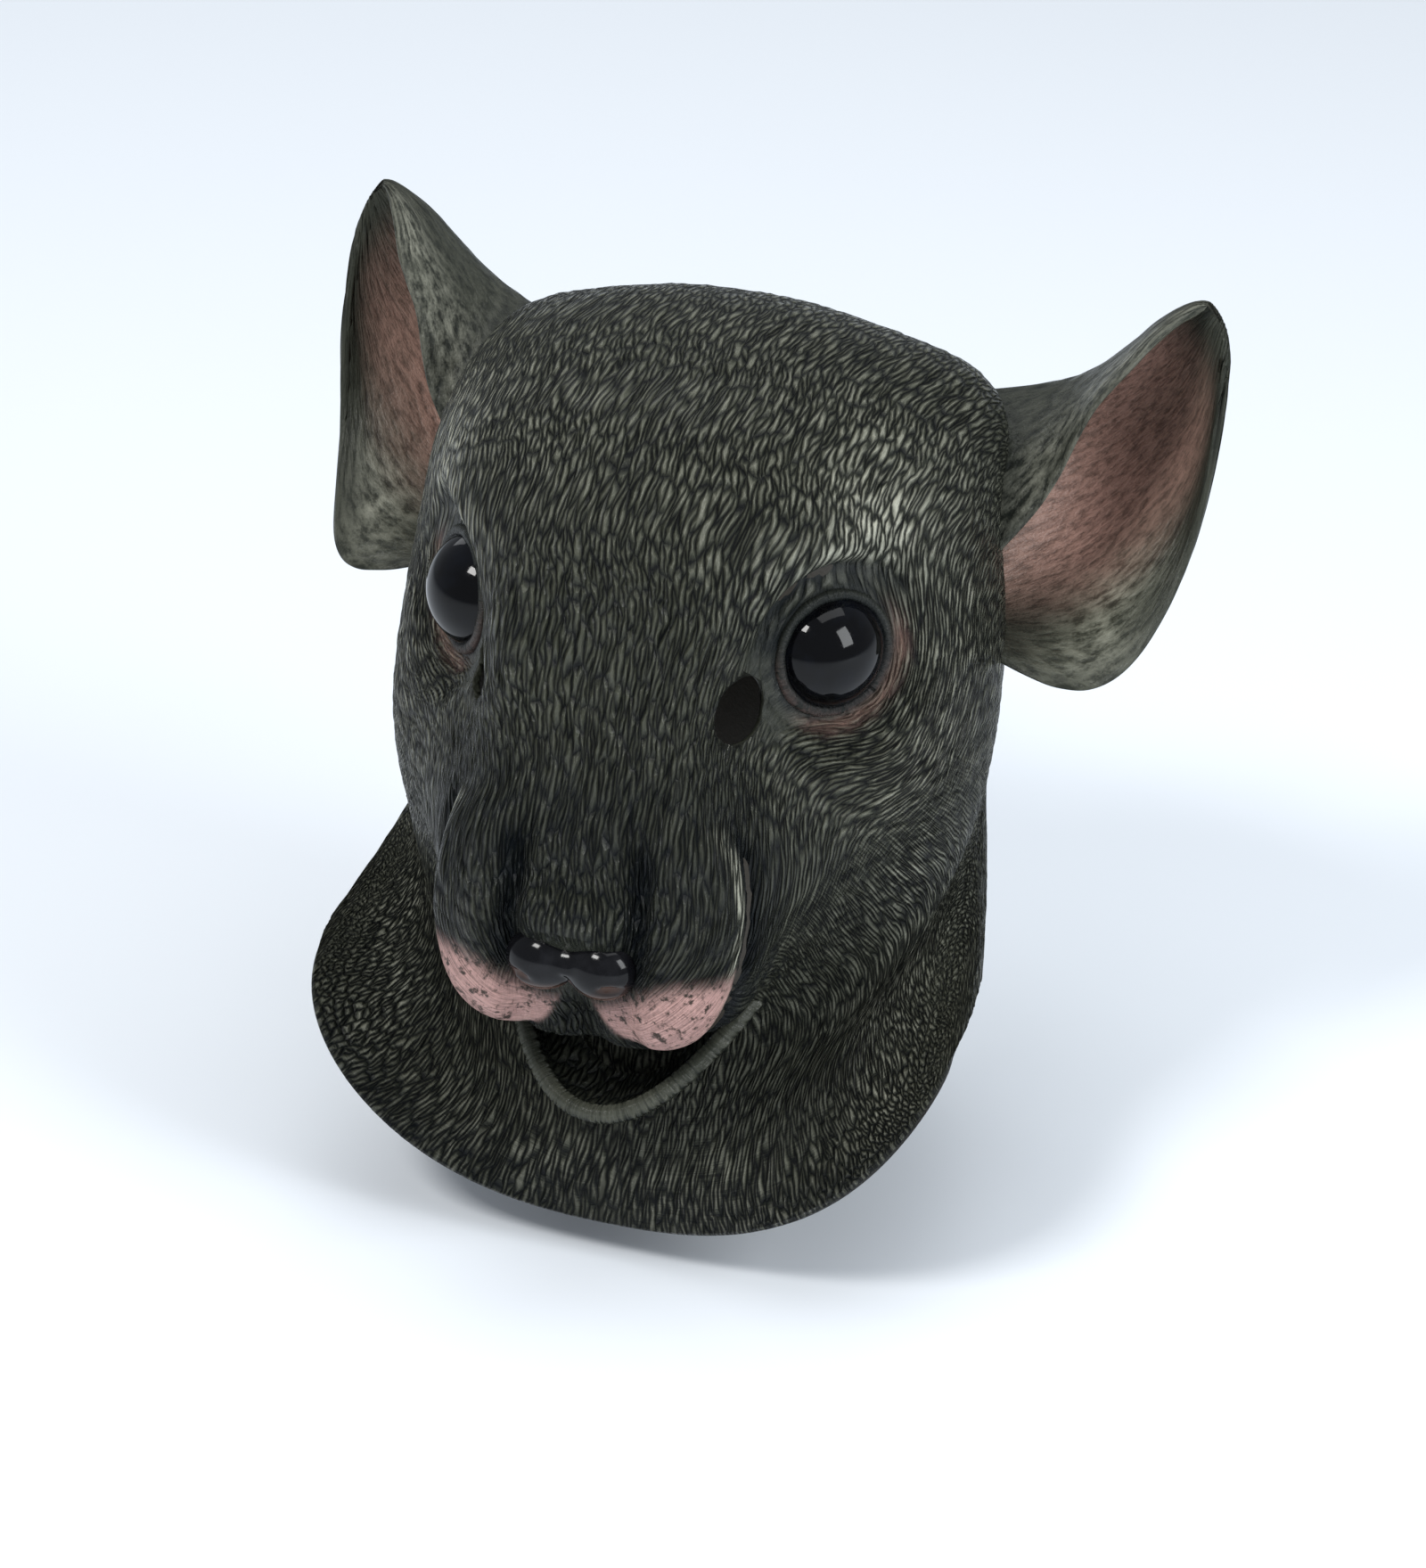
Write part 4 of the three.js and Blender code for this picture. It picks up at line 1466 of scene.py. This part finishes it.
class Shader:
    """A material's node tree with short ways to add and link nodes."""

    def __init__(self, tree: bpy.types.NodeTree) -> None:
        """Keeps the tree.

        Args:
            tree: The node tree that is built.
        """
        self.tree = tree

    def add(self, kind: str, inputs: dict | None = None, **settings: object) -> bpy.types.Node:
        """Adds a node, sets its properties and fills its sockets.

        Args:
            kind: The node's type.
            inputs: Values or output sockets, by the socket's name or number.
            settings: The node's properties.

        Returns:
            The node.
        """
        node = self.tree.nodes.new(kind)
        for name, value in settings.items():
            setattr(node, name, value)
        for name, value in (inputs or {}).items():
            if isinstance(value, bpy.types.NodeSocket):
                self.tree.links.new(value, node.inputs[name])
            else:
                node.inputs[name].default_value = value
        return node

    def math(self, operation: str, *values: Given) -> Socket:
        """The result of a maths node.

        Args:
            operation: The node's operation.
            values: Numbers or output sockets.

        Returns:
            Its output socket.
        """
        return self.add("ShaderNodeMath", dict(enumerate(values)), operation=operation).outputs[0]

    def mix(self, share: Given, first: Given, second: Given) -> Socket:
        """The mix of two colours.

        Args:
            share: How much of the second.
            first, second: Colours with alpha, or output sockets.

        Returns:
            The colour's output socket.
        """
        return self.add("ShaderNodeMix", {0: share, 6: first, 7: second}, data_type="RGBA").outputs[2]

    def ramp(self, value: Socket, low: float, high: float, start: float = 0.0, end: float = 1.0) -> Socket:
        """A value mapped from one range to another, kept inside it.

        Args:
            value: The output socket to map.
            low, high: The range it comes in.
            start, end: The range it goes out in.

        Returns:
            The mapped value's socket.
        """
        inputs = {"Value": value, "From Min": low, "From Max": high, "To Min": start, "To Max": end}
        return self.add("ShaderNodeMapRange", inputs).outputs[0]

    def vector(self, operation: str, first: Given, second: Given) -> Socket:
        """The result of a vector maths node.

        Args:
            operation: The node's operation.
            first, second: Vectors or output sockets.

        Returns:
            Its output socket.
        """
        return self.add("ShaderNodeVectorMath", {0: first, 1: second}, operation=operation).outputs[0]

    def noise(self, vector: Socket, scale: float, detail: float, roughness: float) -> Socket:
        """A noise texture's value.

        Args:
            vector: Where it is read.
            scale: Its scale, in 1 / metre for object coordinates.
            detail: Its octaves.
            roughness: How strong the fine ones are.

        Returns:
            The value's socket.
        """
        inputs = {"Vector": vector, "Scale": scale, "Detail": detail, "Roughness": roughness}
        return self.add("ShaderNodeTexNoise", inputs).outputs[0]

    def carried(self, name: str, output: str = "Fac") -> Socket:
        """The value, or the vector, that the mesh carries under a name."""
        return self.add("ShaderNodeAttribute", attribute_name=name).outputs[output]

    def placed(self) -> Socket:
        """The place on the piece, in metres."""
        return self.add("ShaderNodeTexCoord").outputs["Object"]

    def finish(self, surface: dict) -> None:
        """Ends a material in one Principled BSDF.

        Args:
            surface: Its sockets' values or links by name.
        """
        finished = self.add("ShaderNodeBsdfPrincipled", surface)
        self.add("ShaderNodeOutputMaterial", {"Surface": finished.outputs[0]})


def new_material(name: str) -> tuple[bpy.types.Material, Shader]:
    """An empty material.

    Args:
        name: Its name.

    Returns:
        The material and a Shader on its tree.
    """
    material = bpy.data.materials.new(name)
    material.use_nodes = True
    material.node_tree.nodes.clear()
    return material, Shader(material.node_tree)


def group_tree(name: str, inputs: dict, outputs: dict) -> tuple[bpy.types.NodeTree, Shader]:
    """An empty node group with named sockets.

    Args:
        name: The group's name.
        inputs, outputs: Socket types by name.

    Returns:
        The group and a Shader on it.
    """
    tree = bpy.data.node_groups.new(name, "ShaderNodeTree")
    for socket, kind in inputs.items():
        tree.interface.new_socket(socket, in_out="INPUT", socket_type=kind)
    for socket, kind in outputs.items():
        tree.interface.new_socket(socket, in_out="OUTPUT", socket_type=kind)
    return tree, Shader(tree)


STROKE_SCALE = (0.45, 0.088, 1.0)
WARP_SCALE = (0.12, 0.07, 1.0)
WARP_REACH = (4.5, 6.0, 0.0)
NOISE_MIDDLE = (0.5, 0.5, 0.5)
GROOVE_WIDTH = 0.4
HAIR_STRETCH = (1.0, 0.14, 1.0)


def stroke_group() -> bpy.types.NodeTree:
    """Combed strokes in the flow's own coordinates: long cells with rounded backs and narrow grooves.

    Returns:
        The node group, with Flow in and Height out.
    """
    vector, value = "NodeSocketVector", "NodeSocketFloat"
    tree, shader = group_tree("combed_strokes", {"Flow": vector}, {"Height": value})
    flow = shader.add("NodeGroupInput").outputs["Flow"]
    slow = shader.vector("MULTIPLY", flow, WARP_SCALE)
    warp = shader.add("ShaderNodeTexNoise", {"Vector": slow, "Scale": 1.0, "Detail": 2.0}).outputs[1]
    shift = shader.vector("MULTIPLY", shader.vector("SUBTRACT", warp, NOISE_MIDDLE), WARP_REACH)
    scaled = shader.vector("MULTIPLY", shader.vector("ADD", flow, shift), STROKE_SCALE)
    cells = {"Vector": scaled, "Scale": 1.0, "Randomness": 1.0}
    edge = shader.add("ShaderNodeTexVoronoi", cells, voronoi_dimensions="2D", feature="DISTANCE_TO_EDGE")
    height = shader.ramp(edge.outputs["Distance"], 0.0, GROOVE_WIDTH)
    shader.add("NodeGroupOutput", {"Height": shader.math("POWER", height, 0.9)})
    return tree


def grain_group() -> bpy.types.NodeTree:
    """Fine hair lines along the flow and the pores of cast latex, as a height and a mottling.

    Returns:
        The node group, with Flow and Position in, Height and Mottle out.
    """
    vector, value = "NodeSocketVector", "NodeSocketFloat"
    sockets = {"Flow": vector, "Position": vector}
    tree, shader = group_tree("latex_grain", sockets, {"Height": value, "Mottle": value})
    given = shader.add("NodeGroupInput")
    hairs = shader.noise(shader.vector("MULTIPLY", given.outputs["Flow"], HAIR_STRETCH), 1.1, 3.0, 0.6)
    pores = shader.noise(given.outputs["Position"], 900.0, 2.0, 0.6)
    mottle = shader.noise(given.outputs["Position"], 38.0, 4.0, 0.6)
    height = shader.math("ADD", shader.math("MULTIPLY", hairs, 0.8), shader.math("MULTIPLY", pores, 0.2))
    shader.add("NodeGroupOutput", {"Height": height, "Mottle": mottle})
    return tree


@dataclass(frozen=True)
class LatexFinish:
    """Charcoal latex with painted shade in its grooves and hollows, stroke tops lightened by dry-brushing and
    by painted highlights, and flesh-coloured places.
    """

    # The first colour is painted shade in the grooves between strokes, the second painted shade in hollows
    # and creases.
    groove_shade: Colour = (0.0035, 0.0043, 0.0042)
    shadow: Colour = (0.004, 0.006, 0.0085)
    body: Colour = (0.05, 0.053, 0.038)
    # The lightened stroke tops: dry-brushed paint together with painted highlights.
    dry_brush_and_highlight: Colour = (0.42, 0.42, 0.34)
    flesh: Colour = (0.66, 0.4, 0.36)
    ear: Colour = (0.46, 0.27, 0.21)
    flesh_dark: Colour = (0.06, 0.04, 0.032)
    body_from: Span = (0.22, 0.72)
    dry_brush_and_highlight_from: Span = (0.55, 1.05)
    speck_scale: float = 230.0
    roughness: float = 0.25
    groove_rougher: float = 0.3
    wet_smoother: float = 0.2
    relief: float = 0.0023
    specular: float = 0.17
    hair_relief: float = 0.5
    hair_ridge: float = 0.2
    stroke_ridge: float = 0.35
    comb_ridge: float = 0.75
    plain_ridge: float = 0.5

    def ridges(self, shader: Shader, strokes: bpy.types.NodeTree, hairs: Socket) -> tuple[Socket, Socket]:
        """The strokes' relief, and how far each place stands out of the grooves.

        Args:
            shader: The material's tree.
            strokes: The group of combed strokes.
            hairs: The fine hair lines.

        Returns:
            The sockets of the relief and of the ridge.
        """
        combed = [
            shader.add("ShaderNodeGroup", {"Flow": shader.carried(name, "Vector")}, node_tree=strokes)
            for name in ("flow", "flow_low")
        ]
        fur = shader.carried("fur")
        choice = {0: shader.carried("low"), 2: combed[0].outputs["Height"], 3: combed[1].outputs["Height"]}
        comb = shader.math("MULTIPLY", shader.add("ShaderNodeMix", choice).outputs[0], fur)
        relief = shader.math("ADD", comb, shader.math("MULTIPLY", hairs, self.hair_relief))
        ridge = shader.math("MULTIPLY", comb, self.comb_ridge)
        ridge = shader.math("MULTIPLY_ADD", shader.carried("stroke"), self.stroke_ridge, ridge)
        plain = shader.math("MULTIPLY", shader.math("SUBTRACT", 1.0, fur), self.plain_ridge)
        ridge = shader.math("ADD", ridge, plain)
        hair = shader.ramp(hairs, 0.3, 0.7, -self.hair_ridge, self.hair_ridge)
        return relief, shader.math("ADD", ridge, hair)

    def skin_colour(self, shader: Shader, hairs: Socket) -> Socket:
        """The flesh colour with its specks and streaks, or the ears' own where the mesh says so.

        Args:
            shader: The material's tree.
            hairs: The fine hair lines.

        Returns:
            The colour's socket.
        """
        clean = shader.carried("clean")
        speck = shader.ramp(shader.noise(shader.placed(), self.speck_scale, 3.0, 0.7), 0.36, 0.47)
        flesh = shader.mix(clean, (*self.flesh, 1), (*self.ear, 1))
        flesh = shader.mix(shader.math("MAXIMUM", speck, clean), (*self.flesh_dark, 1), flesh)
        return shader.mix(shader.ramp(hairs, 0.36, 0.56, 0.35, 1.0), (*self.flesh_dark, 1), flesh)

    def build(self, strokes: bpy.types.NodeTree, grain: bpy.types.NodeTree) -> bpy.types.Material:
        """The material: colours mixed by the strokes, the wear and painted highlights, the painted shade and
        the flesh that the mesh carries.

        Args:
            strokes: The group of combed strokes.
            grain: The group of fine relief.

        Returns:
            The material.
        """
        material, shader = new_material("latex")
        surroundings = {"Flow": shader.carried("flow", "Vector"), "Position": shader.placed()}
        fine = shader.add("ShaderNodeGroup", surroundings, node_tree=grain)
        hairs, mottle = fine.outputs["Height"], fine.outputs["Mottle"]
        relief, ridge = self.ridges(shader, strokes, hairs)
        # The grooves between strokes are darkened with painted shade.
        colour = shader.mix(shader.ramp(ridge, *self.body_from), (*self.groove_shade, 1), (*self.body, 1))
        # Stroke tops are lightened by dry-brushed wear together with painted highlights.
        brush_and_highlight_share = shader.math("MULTIPLY", shader.ramp(ridge, *self.dry_brush_and_highlight_from), shader.carried("wear_and_highlight"))
        brush_and_highlight_share = shader.math("MULTIPLY", brush_and_highlight_share, shader.ramp(mottle, 0.35, 0.65, 0.4, 1.0))
        colour = shader.mix(brush_and_highlight_share, colour, (*self.dry_brush_and_highlight, 1))
        flesh = shader.math("MULTIPLY", shader.carried("flesh"), 0.95)
        colour = shader.mix(flesh, colour, self.skin_colour(shader, hairs))
        shade = shader.math("MULTIPLY", shader.carried("shade"), 0.85)
        colour = shader.mix(shade, colour, (*self.shadow, 1))
        rough = shader.ramp(ridge, 0.1, 1.0, self.roughness + self.groove_rougher, self.roughness - 0.04)
        wet = shader.math("MULTIPLY", shader.carried("wet"), self.wet_smoother)
        rough = shader.math("SUBTRACT", rough, wet)
        bump = shader.add("ShaderNodeBump", {"Strength": 1.0, "Distance": self.relief, "Height": relief})
        surface = {"Base Color": colour, "Roughness": rough, "Normal": bump.outputs[0]}
        shader.finish({**surface, "Specular IOR Level": self.specular})
        return material


@dataclass(frozen=True)
class GlossFinish:
    """Black under a clear polish, with faint clouds and dust in it, and brown where the mesh says low."""

    name: str
    colour: Colour
    cloud: Colour
    roughness: float
    cloud_scale: float
    brown: Colour = (0.16, 0.085, 0.06)
    dust_scale: float = 700.0
    dust_rougher: float = 0.1
    specular: float = 0.2
    coat: float = 0.04

    def build(self) -> bpy.types.Material:
        """The material.

        Returns:
            The material.
        """
        material, shader = new_material(self.name)
        clouds = shader.noise(shader.placed(), self.cloud_scale, 4.0, 0.6)
        colour = shader.mix(shader.ramp(clouds, 0.45, 0.75), (*self.colour, 1), (*self.cloud, 1))
        low = shader.math("MULTIPLY", shader.carried("low"), 0.6)
        colour = shader.mix(low, colour, (*self.brown, 1))
        dust = shader.noise(shader.placed(), self.dust_scale, 2.0, 0.5)
        rough = shader.ramp(dust, 0.4, 0.8, self.roughness, self.roughness + self.dust_rougher)
        surface = {"Base Color": colour, "Roughness": rough}
        shader.finish({**surface, "Specular IOR Level": self.specular, "Coat Weight": self.coat})
        return material


@dataclass(frozen=True)
class Lamp:
    """A rectangular soft light: its place and its two sides in metres, its power in watts, its colour."""

    name: str
    place: tuple[float, float, float]
    size: tuple[float, float]
    power: float
    colour: Colour

    def build(self, target: tuple[float, float, float]) -> None:
        """Adds the light.

        Args:
            target: The point that it looks at, in metres.
        """
        data = bpy.data.lights.new(self.name, "AREA")
        data.shape = "RECTANGLE"
        data.size, data.size_y = self.size
        data.energy = self.power
        data.color = self.colour
        lamp = linked(self.name, data)
        lamp.location = self.place
        lamp.rotation_euler = (Vector(target) - Vector(self.place)).to_track_quat("-Z", "Y").to_euler()


@dataclass(frozen=True)
class Studio:
    """A pale floor, soft lights and the camera at the photograph's angle."""

    azimuth: float = 20.7
    elevation: float = 28.4
    distance: float = 2200.0
    focal_pixels: float = 6600.0
    image: tuple[int, int] = (1600, 1759)
    principal: tuple[float, float] = (800.0, 880.0)
    eyes_pixel: tuple[float, float] = (724.0, 682.0)
    sensor: float = 36.0
    view_end: float = 100.0
    target: tuple[float, float, float] = (0.0, -0.05, -0.13)
    floor_z: float = -0.352
    floor_size: float = 14.0
    floor_colour: Colour = (0.86, 0.9, 0.95)
    sky_colour: Colour = (0.86, 0.92, 1.0)
    sky_strength: float = 0.36
    lamps: tuple[Lamp, ...] = (
        Lamp("key", (-0.7, -1.5, 1.8), (0.7, 0.5), 33.0, (1.0, 0.99, 0.97)),
        Lamp("side", (1.9, -0.6, 1.0), (0.8, 1.2), 30.0, (0.95, 0.98, 1.0)),
        Lamp("rim", (-1.5, 1.2, 1.1), (0.8, 0.8), 4.0, (0.95, 0.98, 1.0)),
        Lamp("top", (0.2, 0.3, 2.4), (2.2, 2.2), 31.0, (0.97, 0.99, 1.0)),
    )

    def camera(self) -> None:
        """Puts the camera so that the point between the eyes falls on its pixel, and makes it the scene's."""
        azimuth, elevation = np.radians([self.azimuth, self.elevation])
        level = np.array([np.sin(azimuth), -np.cos(azimuth), 0.0])
        back = level * np.cos(elevation) + np.array([0.0, 0.0, np.sin(elevation)])
        right = np.array([np.cos(azimuth), np.sin(azimuth), 0.0])
        up = np.cross(back, right)
        scale = self.distance / self.focal_pixels
        shift = (self.eyes_pixel[0] - self.principal[0]) * scale
        rise = (self.principal[1] - self.eyes_pixel[1]) * scale
        place = (back * self.distance - right * shift - up * rise - SEAT) * MM
        data = bpy.data.cameras.new("camera")
        data.sensor_width = self.sensor
        data.lens = self.sensor * self.focal_pixels / max(self.image)
        data.clip_end = self.view_end
        camera = linked("camera", data)
        camera.location = place
        camera.rotation_euler = Vector(-back).to_track_quat("-Z", "Y").to_euler()
        bpy.context.scene.camera = camera

    def floor(self) -> None:
        """A large pale plane just under the hem."""
        half = self.floor_size / 2
        mesh = bpy.data.meshes.new("floor")
        corners = [(-half, -half), (half, -half), (half, half), (-half, half)]
        mesh.from_pydata([(x, y, self.floor_z) for x, y in corners], [], [(0, 1, 2, 3)])
        floor = linked("floor", mesh)
        material, shader = new_material("floor")
        shader.finish({"Base Color": (*self.floor_colour, 1), "Roughness": 0.9})
        mesh.materials.append(material)

    def build(self) -> None:
        """Makes the world, the lights, the floor and the camera."""
        world = bpy.data.worlds.new("studio")
        bpy.context.scene.world = world
        world.use_nodes = True
        sky = world.node_tree.nodes["Background"]
        sky.inputs["Color"].default_value = (*self.sky_colour, 1)
        sky.inputs["Strength"].default_value = self.sky_strength
        for lamp in self.lamps:
            lamp.build(self.target)
        bpy.context.scene.view_settings.view_transform = "Standard"
        self.floor()
        self.camera()


EYE_GLOSS = GlossFinish("eye_gloss", (0.0015, 0.0015, 0.002), (0.004, 0.005, 0.008), 0.04, 60.0)
NOSE_GLOSS = GlossFinish("nose_gloss", (0.004, 0.004, 0.005), (0.012, 0.012, 0.014), 0.09, 90.0)


def main() -> None:
    """Builds the studio and every piece in order."""
    logging.basicConfig(level=logging.INFO)
    Studio().build()
    latex = LatexFinish().build(stroke_group(), grain_group())
    eye = EYE_GLOSS.build()
    nose = NOSE_GLOSS.build()
    Skin().build(latex)
    LowerJaw().build(latex)
    for side in Side:
        Ear().build(side, latex)
        Eyelid().build(side, latex)
        EyeDome().build(side, eye)
    NosePad().build(nose)


if __name__ == "__main__":
    main()
